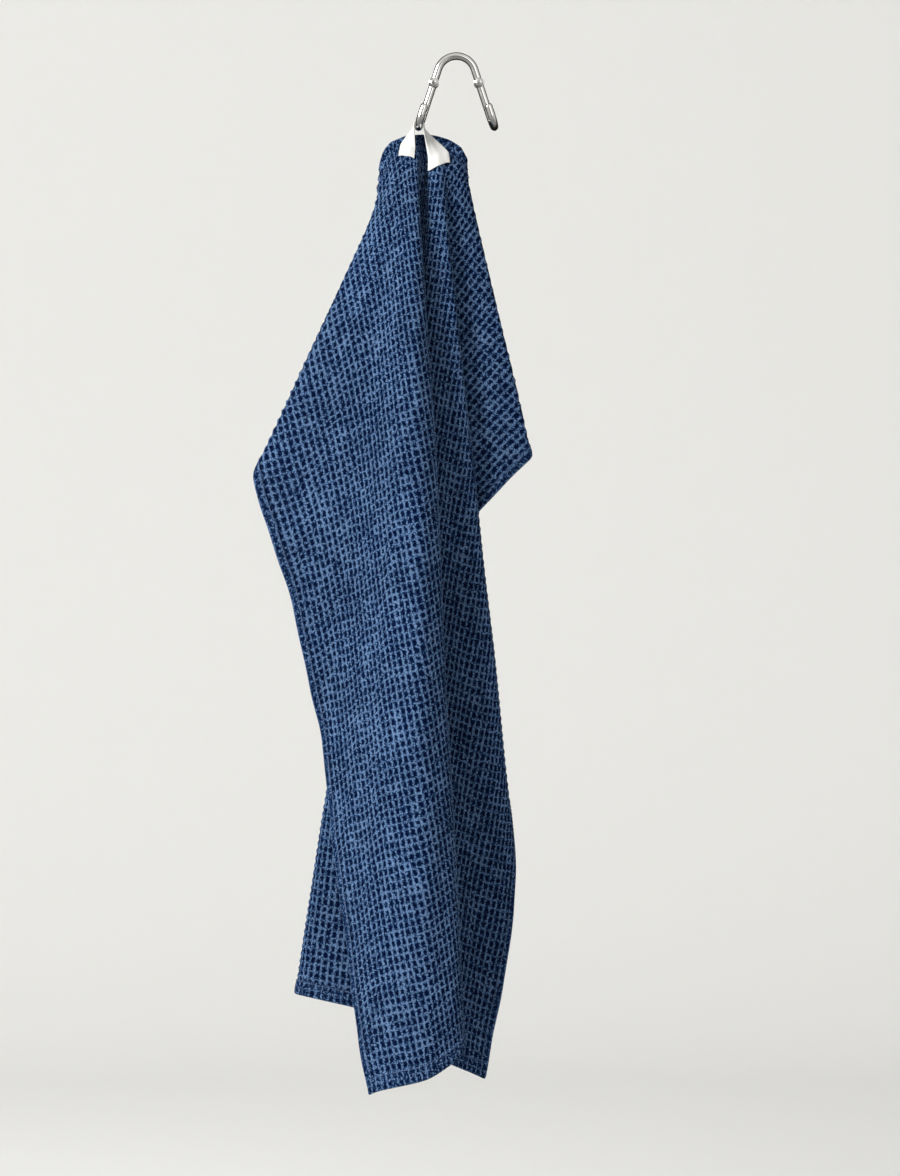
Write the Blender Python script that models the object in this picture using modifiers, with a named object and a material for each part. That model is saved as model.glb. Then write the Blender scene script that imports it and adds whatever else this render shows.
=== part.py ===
"""Tea towel of waffle cloth hanging by its tape loop on a double wall hook.

Frame: +X to the right, +Y into the wall, +Z up, metres. The wall face is the plane Y = 0
and the origin lies on it, midway between the hook's two bosses.
Tables and driving sizes are in millimetres. A place in a table is x, out and z, where out
is the distance from the wall face towards the room.
"""

import math
from collections import namedtuple

import bmesh
import bpy
import numpy as np

MM = 0.001

# Cloth as it was cut and hemmed, flat
CLOTH_WIDTH = 450.0
CLOTH_LENGTH = 700.0
CLOTH_THICKNESS = 2.0

# The cloth gathers at the middle of its top hem. Every fold runs out from there as a spoke.
# A spoke is named by its angle on the flat cloth: 0 is straight down, minus is to the left.
GATHER_HALF = 30.0
GATHER_POWER = 3.0
NECK_DROP = 26.0
NECK_SOFTNESS = 9.0
FOLD_SOFTNESS = 0.5
ANGLE_STEP = 0.1
STEPS_PER_SPOKE = 2
STEPS_TO_NECK = 3
STEPS_TO_EDGE = 18
EDGE_GRADING = 1.25
CORNER_ANGLE = 17.755

# Points of the mesh that lie closer than this are merged, in the gathers and in the tape's folds
CLOTH_CROWDED = 1.5
TAPE_CROWDED = 0.3

Place = namedtuple("Place", "angle x out z")
Spoke = namedtuple("Spoke", "name angle x out z bow")

# Top edge of the hem, which stands above the seams of the loop and leans to the wall
RIM = [
    Place(-90.0, -46.0, 3.5, -63.0),
    Place(-70.0, -53.0, 4.0, -63.0),
    Place(-57.0, -59.0, 8.5, -62.0),
    Place(-46.0, -51.0, 12.5, -50.0),
    Place(-30.0, -37.0, 11.0, -43.0),
    Place(0.0, -24.0, 9.0, -42.0),
    Place(30.0, -14.0, 10.0, -45.0),
    Place(44.0, -4.0, 12.5, -48.0),
    Place(56.0, 8.0, 12.0, -57.0),
    Place(68.0, 4.0, 6.5, -59.0),
    Place(90.0, -5.0, 5.0, -59.0),
]

# The neck, where the loop is sewn on: two rolled shoulders and a trough between them
NECK = [
    Place(-90.0, -49.0, 3.5, -82.0),
    Place(-75.0, -53.0, 3.5, -85.0),
    Place(-62.0, -58.0, 5.0, -88.0),
    Place(-55.0, -62.0, 7.5, -91.0),
    Place(-47.0, -60.5, 13.0, -89.5),
    Place(-35.0, -47.0, 22.0, -68.0),
    Place(-20.0, -37.0, 25.0, -63.0),
    Place(-10.0, -31.0, 25.0, -63.0),
    Place(2.3, -28.0, 16.0, -68.0),
    Place(3.6, -24.0, 16.0, -68.0),
    Place(11.0, -20.0, 23.0, -68.0),
    Place(21.0, -14.0, 25.0, -66.0),
    Place(35.0, -5.0, 22.0, -65.0),
    Place(48.0, 4.0, 19.0, -71.0),
    Place(58.0, 9.0, 14.0, -78.0),
    Place(65.0, 8.0, 9.0, -80.0),
    Place(78.0, 3.0, 8.0, -80.0),
    Place(90.0, -2.0, 8.0, -79.0),
]

# Where each spoke reaches the edge of the cloth, and how far it bows out on the way
SPOKES = [
    Spoke("left corner behind", -90.0, 0.0, 2.5, -262.0, 0.0),
    Spoke("left back flap", -68.0, -66.0, 2.5, -280.0, 0.0),
    Spoke("left bias fold, back", -50.5, -142.0, 3.5, -297.0, 0.0),
    Spoke("left bias fold", -47.6, -156.0, 9.0, -301.0, 0.0),
    Spoke("left bias fold, front", -44.0, -151.0, 15.0, -331.0, 3.0),
    Spoke("left edge, high", -35.0, -126.0, 15.0, -415.0, 8.0),
    Spoke("left edge, middle", -28.0, -105.0, 19.0, -515.0, 10.0),
    Spoke("left edge, low", -22.0, -89.0, 31.0, -646.0, 12.0),
    Spoke("left bottom corner", -CORNER_ANGLE, -70.0, 46.0, -786.0, 14.0),
    Spoke("front panel", -14.0, -21.0, 70.0, -773.0, 12.0),
    Spoke("front fold, front", -11.2, 6.0, 68.0, -754.0, 8.0),
    Spoke("front fold, back", -9.6, 7.0, 57.0, -744.0, 6.0),
    Spoke("middle layer", -5.5, -24.0, 32.0, -737.0, 4.0),
    Spoke("middle layer, left", -1.0, -71.0, 26.0, -723.0, 2.0),
    Spoke("inner fold, front", 2.3, -126.0, 21.0, -711.0, 1.0),
    Spoke("inner fold, back", 3.6, -126.0, 12.0, -711.0, 0.0),
    Spoke("back layer, left", 7.2, -80.0, 8.0, -717.0, 0.0),
    Spoke("back layer", 12.5, -31.0, 20.0, -755.0, 1.0),
    Spoke("right bottom corner", CORNER_ANGLE, 21.0, 15.0, -777.0, 2.0),
    Spoke("right edge, low", 20.0, 39.0, 20.0, -694.0, 3.0),
    Spoke("right fold, front", 22.3, 47.0, 22.0, -622.0, 3.0),
    Spoke("right fold, back", 24.4, 42.0, 12.5, -569.0, 2.0),
    Spoke("hidden layer", 30.0, -4.0, 11.0, -478.0, -2.0),
    Spoke("valley, front", 35.0, -31.0, 13.8, -430.0, -4.0),
    Spoke("valley, back", 38.0, -28.0, 8.5, -396.0, -4.2),
    Spoke("right flap, left", 46.5, 17.0, 11.0, -338.0, -1.0),
    Spoke("right flap", 51.0, 40.0, 15.0, -311.0, 0.0),
    Spoke("right bias fold, front", 55.5, 57.0, 14.0, -291.0, 0.0),
    Spoke("right bias fold, back", 59.0, 48.0, 7.5, -284.0, 0.0),
    Spoke("right back flap", 74.0, -14.0, 6.0, -265.0, 0.0),
    Spoke("right corner behind", 90.0, -58.0, 6.2, -251.0, 0.0),
]

# Wall hook: one bent rod, an arch with a J at each foot, on two bosses
ROD_RADIUS = 3.0
ROD_OUT = 6.0
ARCH_TOP_Z = 21.0
LEG_LEAN = math.radians(18.1)
BOSS_HALF_SPAN = 17.7
BOSS_RADIUS = 4.0
BOSS_FRONT = 9.2
J_RADIUS = 9.5
J_BOTTOM_Z = -35.5
J_TIP_RISE = 6.0
J_SPLAY = math.radians(2.5)
ARCH_STEPS = 12
BEND_STEPS = 10
TIP_STEPS = 4
TIP_TURN = math.radians(84.6)

# Screws through the bosses into the wall
SCREW_HOLE_RADIUS = 1.8
DRILL_PAST = 1.0
SCREW_RADIUS = 1.5
SCREW_HEAD_RADIUS = 3.4
SCREW_HEAD_HEIGHT = 2.3
SCREW_IN_WALL = 22.0
SCREW_POINT = 4.0

HeadRing = namedtuple("HeadRing", "radius height")
HEAD_DOME = [
    HeadRing(0.0, 1.0),
    HeadRing(0.55, 0.9),
    HeadRing(0.88, 0.6),
    HeadRing(1.0, 0.25),
    HeadRing(1.0, 0.0),
]
RECESS_ARM = 3.2
RECESS_SLOT = 0.8
RECESS_DEPTH = 1.2
ROUND_STEPS = 24

# Tape of the loop: its ends lie on the cloth at the neck, its crown over the left J
TAPE_THICKNESS = 0.8
TAPE_CROWN_SPREAD = math.radians(42.0)
TAPE_STRANDS = 5
TAPE_LEG_STEPS = 8
TAPE_CROWN_STEPS = 8
TAPE_LAP = 0.3
TAPE_LEG_PULL = 0.4
NORMAL_STEP = 0.02
CROWN_GAP = 0.5
SEAM_GAP = 0.8
PIECE_GAP = 0.3

Seam = namedtuple("Seam", "side outer inner")
SEAMS = [Seam(-1, -35.0, -12.0), Seam(1, 35.0, 10.0)]

Finish = namedtuple("Finish", "colour roughness metallic")
COTTON_BLUE = Finish((0.075, 0.145, 0.33, 1.0), 0.95, 0.0)
COTTON_WHITE = Finish((0.82, 0.80, 0.74, 1.0), 0.9, 0.0)
POLISHED_NICKEL = Finish((0.75, 0.73, 0.70, 1.0), 0.15, 1.0)


def read_column(rows, column, angles):
    """Read one column of a table at the given spoke angles."""
    return np.interp(angles, [row.angle for row in rows], [getattr(row, column) for row in rows])


def read_places(rows, angles):
    """Read x, out and z of a table as points."""
    return np.stack([read_column(rows, column, angles) for column in ("x", "out", "z")], axis=-1)


def read_points(angles, table_angles, points):
    """Read points that are known at the table's angles."""
    return np.stack([np.interp(angles, table_angles, points[:, axis]) for axis in range(3)], axis=-1)


def spoke_length(angles):
    """Length on the flat cloth from the top edge to the side or the bottom edge."""
    sine = np.sin(np.radians(np.abs(angles)))
    cosine = np.cos(np.radians(angles))
    start = GATHER_HALF * sine ** GATHER_POWER
    to_side = (CLOTH_WIDTH / 2.0 - start) / np.maximum(sine, 1e-6)
    to_bottom = CLOTH_LENGTH / np.maximum(cosine, 1e-6)
    return np.minimum(to_side, to_bottom)


def soften(points):
    """Round the folds: average twice over a window of spoke angles."""
    half = round(FOLD_SOFTNESS / ANGLE_STEP)
    kernel = np.ones(2 * half + 1) / (2 * half + 1)
    for _ in range(2):
        before = 2.0 * points[:1] - points[half:0:-1]
        after = 2.0 * points[-1:] - points[-2:-half - 2:-1]
        padded = np.concatenate([before, points, after])
        points = np.stack([np.convolve(padded[:, axis], kernel, "valid") for axis in range(3)], axis=-1)
    return points


def drape(angles, reach):
    """Place points of the cloth: reach is 0 at the top edge, 1 at the neck and 2 at the far edge."""
    table_angles = np.arange(-90.0, 90.0 + ANGLE_STEP / 2, ANGLE_STEP)
    neck = read_places(NECK, table_angles)
    below = (read_places(SPOKES, table_angles) - neck) / (spoke_length(table_angles)[:, None] - NECK_DROP)
    above = (neck - read_places(RIM, table_angles)) / NECK_DROP
    neck, below, above = soften(neck), soften(below), soften(above)

    share = np.maximum(reach - 1.0, 0.0)
    past_neck = (spoke_length(angles) - NECK_DROP) * share + NECK_DROP * np.minimum(reach - 1.0, 0.0)
    rounded = np.sqrt(past_neck ** 2 + NECK_SOFTNESS ** 2)
    points = read_points(angles, table_angles, neck)
    points += read_points(angles, table_angles, below) * ((past_neck + rounded) / 2.0)[..., None]
    points += read_points(angles, table_angles, above) * ((past_neck - rounded) / 2.0)[..., None]
    points[..., 1] += read_column(SPOKES, "bow", angles) * 4.0 * share * (1.0 - share)
    return points


def to_world(points):
    """Turn x, out, z in millimetres into X, Y, Z in metres."""
    return np.stack([points[..., 0], -points[..., 1], points[..., 2]], axis=-1) * MM


def material(name, finish):
    """Make a plain surface of one colour."""
    made = bpy.data.materials.new(name)
    made.use_nodes = True
    surface = made.node_tree.nodes["Principled BSDF"]
    surface.inputs["Base Color"].default_value = finish.colour
    surface.inputs["Roughness"].default_value = finish.roughness
    surface.inputs["Metallic"].default_value = finish.metallic
    return made


def add_object(name, mesh, collection, finish=None):
    """Put a mesh into a collection as a named object."""
    thing = bpy.data.objects.new(name, mesh)
    collection.objects.link(thing)
    if finish:
        mesh.materials.append(material(name + "_finish", finish))
    return thing


def add_thickness(thing, thickness):
    """Thicken an open surface equally to both sides."""
    shell = thing.modifiers.new("Thickness", "SOLIDIFY")
    shell.thickness = thickness * MM
    shell.offset = 0.0


def grid_mesh(name, points, merge_distance):
    """Loft a mesh through a grid of points, merging points that lie closer than a distance."""
    columns, rows = points.shape[:2]
    shape = bmesh.new()
    verts = [[shape.verts.new(points[c, r]) for r in range(rows)] for c in range(columns)]
    for c in range(columns - 1):
        for r in range(rows - 1):
            shape.faces.new((verts[c][r], verts[c][r + 1], verts[c + 1][r + 1], verts[c + 1][r]))
    bmesh.ops.remove_doubles(shape, verts=shape.verts, dist=merge_distance * MM)
    mesh = bpy.data.meshes.new(name)
    shape.to_mesh(mesh)
    shape.free()
    mesh.shade_smooth()
    return mesh


def spoke_angles():
    """Angles of the cloth's columns: every spoke, and equal steps between neighbours."""
    angles = [spoke.angle for spoke in SPOKES]
    places = np.arange(0.0, len(angles) - 1 + 0.5 / STEPS_PER_SPOKE, 1.0 / STEPS_PER_SPOKE)
    return np.interp(places, range(len(angles)), angles)


def reach_steps():
    """Rows of the cloth from its top edge past the neck to its far edge."""
    above = np.linspace(0.0, 1.0, STEPS_TO_NECK, endpoint=False)
    below = 1.0 + np.linspace(0.0, 1.0, STEPS_TO_EDGE + 1) ** EDGE_GRADING
    return np.concatenate([above, below])


def build_towel(collection):
    """The cloth with its hems, one sheet in its hanging folds."""
    angles, reach = np.meshgrid(spoke_angles(), reach_steps(), indexing="ij")
    mesh = grid_mesh("towel", to_world(drape(angles, reach)), CLOTH_CROWDED)
    towel = add_object("towel", mesh, collection, COTTON_BLUE)
    add_thickness(towel, CLOTH_THICKNESS)


def leg_frame(side):
    """Directions of a hook leg: up along it, sideways across it, and out along its J."""
    up = np.array([-side * math.sin(LEG_LEAN), 0.0, math.cos(LEG_LEAN)])
    across = np.array([math.cos(LEG_LEAN), 0.0, side * math.sin(LEG_LEAN)])
    out = np.array([side * math.sin(J_SPLAY), math.cos(J_SPLAY), 0.0])
    return up, across, out


def leg_foot(side):
    """Where the straight leg ends and its J begins."""
    drop = -J_BOTTOM_Z - J_RADIUS * math.cos(LEG_LEAN)
    return np.array([side * (BOSS_HALF_SPAN + drop * math.tan(LEG_LEAN)), ROD_OUT, -drop])


def j_bend(side):
    """Centreline of a J from the foot of its leg to its rounded tip, with the rod's radius."""
    up, _, out = leg_frame(side)
    foot = leg_foot(side)
    route = []
    for step in range(BEND_STEPS + 1):
        turn = math.pi * step / BEND_STEPS
        route.append((foot + out * J_RADIUS * (1.0 - math.cos(turn)) - up * J_RADIUS * math.sin(turn), 1.0))
    top = foot + out * 2.0 * J_RADIUS + up * J_TIP_RISE
    for step in range(TIP_STEPS + 1):
        turn = TIP_TURN * step / TIP_STEPS
        route.append((top + up * ROD_RADIUS * math.sin(turn), math.cos(turn)))
    return route


def arch():
    """Centreline of the arch from its left to its right tangent point, with the rod's radius."""
    lean = math.sin(LEG_LEAN)
    centre_z = (ARCH_TOP_Z - BOSS_HALF_SPAN * math.cos(LEG_LEAN)) / (1.0 - lean)
    radius = ARCH_TOP_Z - centre_z
    half_turn = math.pi / 2.0 - LEG_LEAN
    turns = [half_turn * (2.0 * step / ARCH_STEPS - 1.0) for step in range(ARCH_STEPS + 1)]
    return [((radius * math.sin(t), ROD_OUT, centre_z + radius * math.cos(t)), 1.0) for t in turns]


def rod_mesh(name, route):
    """A round rod along a route of places and radius factors, with closed ends."""
    curve = bpy.data.curves.new(name, "CURVE")
    curve.dimensions = "3D"
    curve.bevel_depth = ROD_RADIUS * MM
    curve.bevel_resolution = 4
    curve.use_fill_caps = True
    spline = curve.splines.new("POLY")
    spline.points.add(len(route) - 1)
    for point, (place, radius) in zip(spline.points, route):
        point.co = (*to_world(np.array(place)), 1.0)
        point.radius = radius
    thing = bpy.data.objects.new(name, curve)
    bpy.context.scene.collection.objects.link(thing)
    evaluated = thing.evaluated_get(bpy.context.evaluated_depsgraph_get())
    mesh = bpy.data.meshes.new_from_object(evaluated)
    mesh.name = name
    bpy.data.objects.remove(thing, do_unlink=True)
    weld(mesh)
    return mesh


def weld(mesh):
    """Join the loose caps of a tube to its wall."""
    shape = bmesh.new()
    shape.from_mesh(mesh)
    bmesh.ops.remove_doubles(shape, verts=shape.verts, dist=0.00001)
    bmesh.ops.recalc_face_normals(shape, faces=shape.faces)
    shape.to_mesh(mesh)
    shape.free()


def add_cylinder(name, x, radius, from_out, to_out, collection):
    """A round bar that stands straight out from the wall."""
    shape = bmesh.new()
    bmesh.ops.create_cone(shape, cap_ends=True, segments=ROUND_STEPS, radius1=radius * MM,
                          radius2=radius * MM, depth=(to_out - from_out) * MM)
    mesh = bpy.data.meshes.new(name)
    shape.to_mesh(mesh)
    shape.free()
    thing = add_object(name, mesh, collection)
    thing.location = to_world(np.array([x, (from_out + to_out) / 2.0, 0.0]))
    thing.rotation_euler.x = math.pi / 2.0
    return thing


def hide_as_guide(thing):
    """Keep a cutter out of the finished part."""
    thing.hide_render = True
    thing.display_type = "WIRE"


def add_boolean(thing, operation, other):
    """Join or cut a body with a guide."""
    step = thing.modifiers.new(other.name, "BOOLEAN")
    step.operation = operation
    step.object = other
    hide_as_guide(other)


def build_hook(collection, cutters):
    """The bent rod with its two bosses, drilled for the screws."""
    route = list(reversed(j_bend(-1))) + arch() + j_bend(1)
    hook = add_object("hook", rod_mesh("hook", route), collection, POLISHED_NICKEL)
    for name, side in (("left", -1), ("right", 1)):
        x = side * BOSS_HALF_SPAN
        boss = add_cylinder(name + "_boss", x, BOSS_RADIUS, 0.0, BOSS_FRONT, cutters)
        add_boolean(hook, "UNION", boss)
    for name, side in (("left", -1), ("right", 1)):
        x = side * BOSS_HALF_SPAN
        drill = add_cylinder(name + "_drill", x, SCREW_HOLE_RADIUS, -DRILL_PAST,
                             BOSS_FRONT + DRILL_PAST, cutters)
        add_boolean(hook, "DIFFERENCE", drill)


def screw_mesh(name):
    """Turned profile of a round-headed screw along +Z, its head's seat at height 0."""
    shank = BOSS_FRONT + PIECE_GAP + SCREW_IN_WALL
    profile = [(SCREW_HEAD_RADIUS * ring.radius, SCREW_HEAD_HEIGHT * ring.height) for ring in HEAD_DOME]
    profile += [(SCREW_RADIUS, 0.0), (SCREW_RADIUS, SCREW_POINT - shank), (0.0, -shank)]
    shape = bmesh.new()
    verts = [shape.verts.new((radius * MM, 0.0, height * MM)) for radius, height in profile]
    for first, second in zip(verts, verts[1:]):
        shape.edges.new((first, second))
    mesh = bpy.data.meshes.new(name)
    shape.to_mesh(mesh)
    shape.free()
    return mesh


def add_slot(name, x, length, width, collection):
    """Cutter of one arm of the cross recess in a screw's head."""
    shape = bmesh.new()
    bmesh.ops.create_cube(shape, size=MM)
    bmesh.ops.scale(shape, verts=shape.verts, vec=(length, 2.0 * RECESS_DEPTH, width))
    mesh = bpy.data.meshes.new(name)
    shape.to_mesh(mesh)
    shape.free()
    thing = add_object(name, mesh, collection)
    thing.location = to_world(np.array([x, BOSS_FRONT + PIECE_GAP + SCREW_HEAD_HEIGHT, 0.0]))
    return thing


def build_screw(name, side, collection, cutters):
    """A screw through a boss, its head a little clear of the boss."""
    x = side * BOSS_HALF_SPAN
    screw = add_object(name, screw_mesh(name), collection, POLISHED_NICKEL)
    screw.location = to_world(np.array([x, BOSS_FRONT + PIECE_GAP, 0.0]))
    screw.rotation_euler.x = math.pi / 2.0
    turning = screw.modifiers.new("Turning", "SCREW")
    turning.steps = ROUND_STEPS
    turning.render_steps = ROUND_STEPS
    turning.use_merge_vertices = True
    turning.merge_threshold = 0.00001
    add_boolean(screw, "DIFFERENCE", add_slot(name + "_slot", x, RECESS_ARM, RECESS_SLOT, cutters))
    add_boolean(screw, "DIFFERENCE", add_slot(name + "_cross_slot", x, RECESS_SLOT, RECESS_ARM, cutters))


def crown_row(turn):
    """One row of the tape over the left J: turn is -90 at the rod's left side and 90 at its right."""
    up, across, out = leg_frame(-1)
    centre = leg_foot(-1) + out * J_RADIUS
    tape_radius = ROD_RADIUS + CROWN_GAP + TAPE_THICKNESS / 2.0
    spread = np.linspace(-TAPE_CROWN_SPREAD, TAPE_CROWN_SPREAD, TAPE_STRANDS)[:, None]
    from_centre = np.sin(spread) * out - np.cos(spread) * up
    inward = J_RADIUS - tape_radius * math.cos(turn)
    return centre + from_centre * inward + across * tape_radius * math.sin(turn)


def seam_row(seam, reach):
    """A row of the tape's end, laid on the front of the cloth."""
    angles = np.linspace(seam.outer, seam.inner, TAPE_STRANDS)
    here = drape(angles, np.full(TAPE_STRANDS, reach))
    along = drape(angles, np.full(TAPE_STRANDS, reach + NORMAL_STEP)) - here
    sideways = drape(angles + 1.0, np.full(TAPE_STRANDS, reach)) - here
    normal = np.cross(along, sideways)
    normal /= np.linalg.norm(normal, axis=-1, keepdims=True)
    normal *= np.sign(normal[:, 1:2])
    return here + normal * (CLOTH_THICKNESS / 2.0 + SEAM_GAP + TAPE_THICKNESS / 2.0)


def tape_leg(seam):
    """Rows of a leg from its end on the cloth up to the rod's side."""
    lower, upper = seam_row(seam, 1.0), seam_row(seam, 1.0 - TAPE_LAP)
    top = crown_row(seam.side * math.pi / 2.0)
    rows = [lower, upper]
    pull = TAPE_LEG_PULL * np.linalg.norm(top.mean(axis=0) - upper.mean(axis=0))
    start = (upper - lower) / np.linalg.norm(upper - lower, axis=-1, keepdims=True) * pull
    finish = leg_frame(-1)[0] * pull
    for step in range(1, TAPE_LEG_STEPS + 1):
        t = step / TAPE_LEG_STEPS
        rows.append(upper * (1 + 2 * t) * (1 - t) ** 2 + start * t * (1 - t) ** 2
                    + top * t ** 2 * (3 - 2 * t) - finish * t ** 2 * (1 - t))
    return rows


def build_tape(collection):
    """The loop: up from the left seam, over the rod of the left J and down to the right seam."""
    left, right = (tape_leg(seam) for seam in SEAMS)
    turns = np.linspace(-math.pi / 2.0, math.pi / 2.0, TAPE_CROWN_STEPS + 1)[1:-1]
    rows = left + [crown_row(turn) for turn in turns] + right[::-1]
    mesh = grid_mesh("tape_loop", to_world(np.array(rows)), TAPE_CROWDED)
    tape = add_object("tape_loop", mesh, collection, COTTON_WHITE)
    add_thickness(tape, TAPE_THICKNESS)


def new_collection(name):
    """Make a collection in the scene."""
    made = bpy.data.collections.new(name)
    bpy.context.scene.collection.children.link(made)
    return made


def main():
    for thing in list(bpy.data.objects):
        bpy.data.objects.remove(thing, do_unlink=True)
    parts = new_collection("tea_towel_on_hook")
    cutters = new_collection("cutters")
    build_towel(parts)
    build_tape(parts)
    build_hook(parts, cutters)
    build_screw("left_screw", -1, parts, cutters)
    build_screw("right_screw", 1, parts, cutters)


main()
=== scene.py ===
"""Tea towel of waffle cotton that hangs by its tape loop from a double wall hook.

Sizes are in millimetres until a mesh is finished, and meshes are in metres. +X is to the
right, +Y into the wall and +Z up. A place in a table is x, out and z, where out is the
distance from the wall face towards the room.
"""

import logging
import math
from collections.abc import Callable
from dataclasses import dataclass
from enum import Enum
from typing import NamedTuple

import bmesh
import bpy
import numpy as np
from mathutils import Matrix, Vector


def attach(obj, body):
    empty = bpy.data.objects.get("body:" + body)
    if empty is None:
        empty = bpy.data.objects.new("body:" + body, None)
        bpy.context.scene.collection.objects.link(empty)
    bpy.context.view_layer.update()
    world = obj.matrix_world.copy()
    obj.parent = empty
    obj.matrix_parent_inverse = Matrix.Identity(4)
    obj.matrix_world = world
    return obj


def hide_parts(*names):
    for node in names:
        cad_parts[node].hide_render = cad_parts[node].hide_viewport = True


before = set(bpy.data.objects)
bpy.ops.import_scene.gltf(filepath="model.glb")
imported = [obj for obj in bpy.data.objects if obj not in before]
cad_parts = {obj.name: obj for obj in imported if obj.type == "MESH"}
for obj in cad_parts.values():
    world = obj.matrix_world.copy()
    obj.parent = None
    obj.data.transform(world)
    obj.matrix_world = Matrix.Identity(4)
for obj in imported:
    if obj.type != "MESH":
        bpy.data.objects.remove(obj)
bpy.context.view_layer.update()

MM = 0.001
BODY = "root"
Colour = tuple[float, float, float]
Spot = tuple[float, float, float]

log = logging.getLogger("tea_towel")


class Face(Enum):
    """The two faces of the cloth, with the sign of a height above its middle."""

    FRONT = 1.0
    REVERSE = -1.0


class Hand(Enum):
    """The two sides of the hook and of the loop, with the sign of x."""

    LEFT = -1.0
    RIGHT = 1.0


class Edge(Enum):
    """The four edges of the cloth as it was cut."""

    TOP = "top_hem"
    BOTTOM = "bottom_hem"
    LEFT = "left_hem"
    RIGHT = "right_hem"


class Place(NamedTuple):
    """A point of the rim or the neck, on the spoke of that angle."""

    angle: float
    x: float
    out: float
    z: float


class Spoke(NamedTuple):
    """Where a fold line reaches the edge of the cloth, and how far it bows out on the way."""

    angle: float
    x: float
    out: float
    z: float
    bow: float


class Crease(NamedTuple):
    """A soft ridge of the cloth, from one flat place to another, or a trough if its height is negative."""

    from_s: float
    from_t: float
    to_s: float
    to_t: float
    half_width: float
    height: float


# Top edge of the hem, which stands above the loop's seams and leans back to the wall
RIM = (
    Place(-90.0, -46.0, 3.5, -63.0),
    Place(-70.0, -53.0, 4.0, -63.0),
    Place(-57.0, -60.5, 8.5, -66.0),
    Place(-50.0, -58.5, 11.5, -56.0),
    Place(-42.0, -51.0, 12.5, -47.0),
    Place(-30.0, -39.0, 11.0, -41.5),
    Place(0.0, -24.0, 9.0, -40.5),
    Place(30.0, -14.0, 10.0, -42.0),
    Place(40.0, -5.0, 11.5, -45.0),
    Place(49.0, 3.5, 12.5, -50.5),
    Place(56.0, 8.5, 12.0, -60.0),
    Place(68.0, 4.0, 6.5, -59.0),
    Place(90.0, -5.0, 5.0, -59.0),
)

# The neck, where the loop is sewn on: two rolled shoulders and a trough between them
NECK = (
    Place(-90.0, -49.0, 3.5, -82.0),
    Place(-75.0, -53.0, 3.5, -85.0),
    Place(-62.0, -58.0, 5.0, -88.0),
    Place(-55.0, -62.0, 7.5, -91.0),
    Place(-47.0, -58.5, 13.0, -91.0),
    Place(-35.0, -47.0, 22.0, -68.0),
    Place(-20.0, -37.0, 25.0, -63.0),
    Place(-10.0, -31.0, 25.0, -63.0),
    Place(2.3, -28.0, 13.5, -68.0),
    Place(3.6, -24.0, 13.5, -68.0),
    Place(11.0, -20.0, 23.0, -68.0),
    Place(21.0, -14.0, 25.0, -66.0),
    Place(35.0, -5.0, 22.0, -65.0),
    Place(48.0, 4.0, 19.0, -71.0),
    Place(58.0, 9.0, 14.0, -78.0),
    Place(65.0, 8.0, 9.0, -80.0),
    Place(78.0, 3.0, 8.0, -80.0),
    Place(90.0, -2.0, 8.0, -79.0),
)

# The folds of the fan, from the left corner behind the cloth round to the right corner
SPOKES = (
    Spoke(-90.0, 0.0, 2.5, -262.0, 0.0),
    Spoke(-68.0, -66.0, 2.5, -280.0, 0.0),
    Spoke(-50.5, -143.0, 3.5, -297.0, 0.0),
    Spoke(-47.6, -159.0, 9.0, -301.0, 0.0),
    Spoke(-44.0, -152.0, 15.0, -331.0, 3.0),
    Spoke(-35.0, -126.0, 15.0, -415.0, 8.0),
    Spoke(-28.0, -105.0, 19.0, -515.0, 10.0),
    Spoke(-22.0, -89.0, 31.0, -646.0, 12.0),
    Spoke(-17.755, -70.0, 46.0, -786.0, 14.0),
    Spoke(-14.0, -21.0, 70.0, -773.0, 12.0),
    Spoke(-11.2, 6.0, 68.0, -754.0, 8.0),
    Spoke(-9.6, 7.0, 57.0, -744.0, 6.0),
    Spoke(-5.5, -24.0, 32.0, -737.0, 4.0),
    Spoke(-1.8, -71.0, 26.0, -723.0, 2.0),
    Spoke(2.3, -126.0, 21.0, -711.0, 1.0),
    Spoke(3.6, -126.0, 12.0, -711.0, 0.0),
    Spoke(7.2, -80.0, 8.0, -717.0, 0.0),
    Spoke(12.5, -31.0, 20.0, -755.0, 1.0),
    Spoke(17.755, 21.0, 15.0, -777.0, 2.0),
    Spoke(20.0, 39.0, 20.0, -694.0, 3.0),
    Spoke(22.3, 47.0, 22.0, -622.0, 3.0),
    Spoke(24.4, 42.0, 12.5, -569.0, 2.0),
    Spoke(30.0, -4.0, 11.0, -478.0, -2.0),
    Spoke(35.0, -31.0, 13.8, -430.0, -4.0),
    Spoke(38.0, -28.0, 8.5, -396.0, -4.2),
    Spoke(46.5, 17.0, 11.0, -338.0, -1.0),
    Spoke(51.0, 40.0, 15.0, -311.0, 0.0),
    Spoke(55.5, 60.5, 14.0, -291.0, 0.0),
    Spoke(59.0, 48.0, 7.5, -284.0, 0.0),
    Spoke(74.0, -14.0, 6.0, -265.0, 0.0),
    Spoke(90.0, -58.0, 6.2, -251.0, 0.0),
)

# Where each spoke starts on the flat cloth: its angle, and how far from the middle of the top edge
GATHER = (
    (-90.0, 88.0), (-47.6, 84.0), (-35.0, 64.0), (-20.0, 54.0), (-11.0, 48.0), (0.0, 0.0),
    (11.0, 30.0), (21.0, 34.0), (38.0, 38.0), (48.0, 47.0), (58.0, 57.0), (90.0, 60.0),
)

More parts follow.
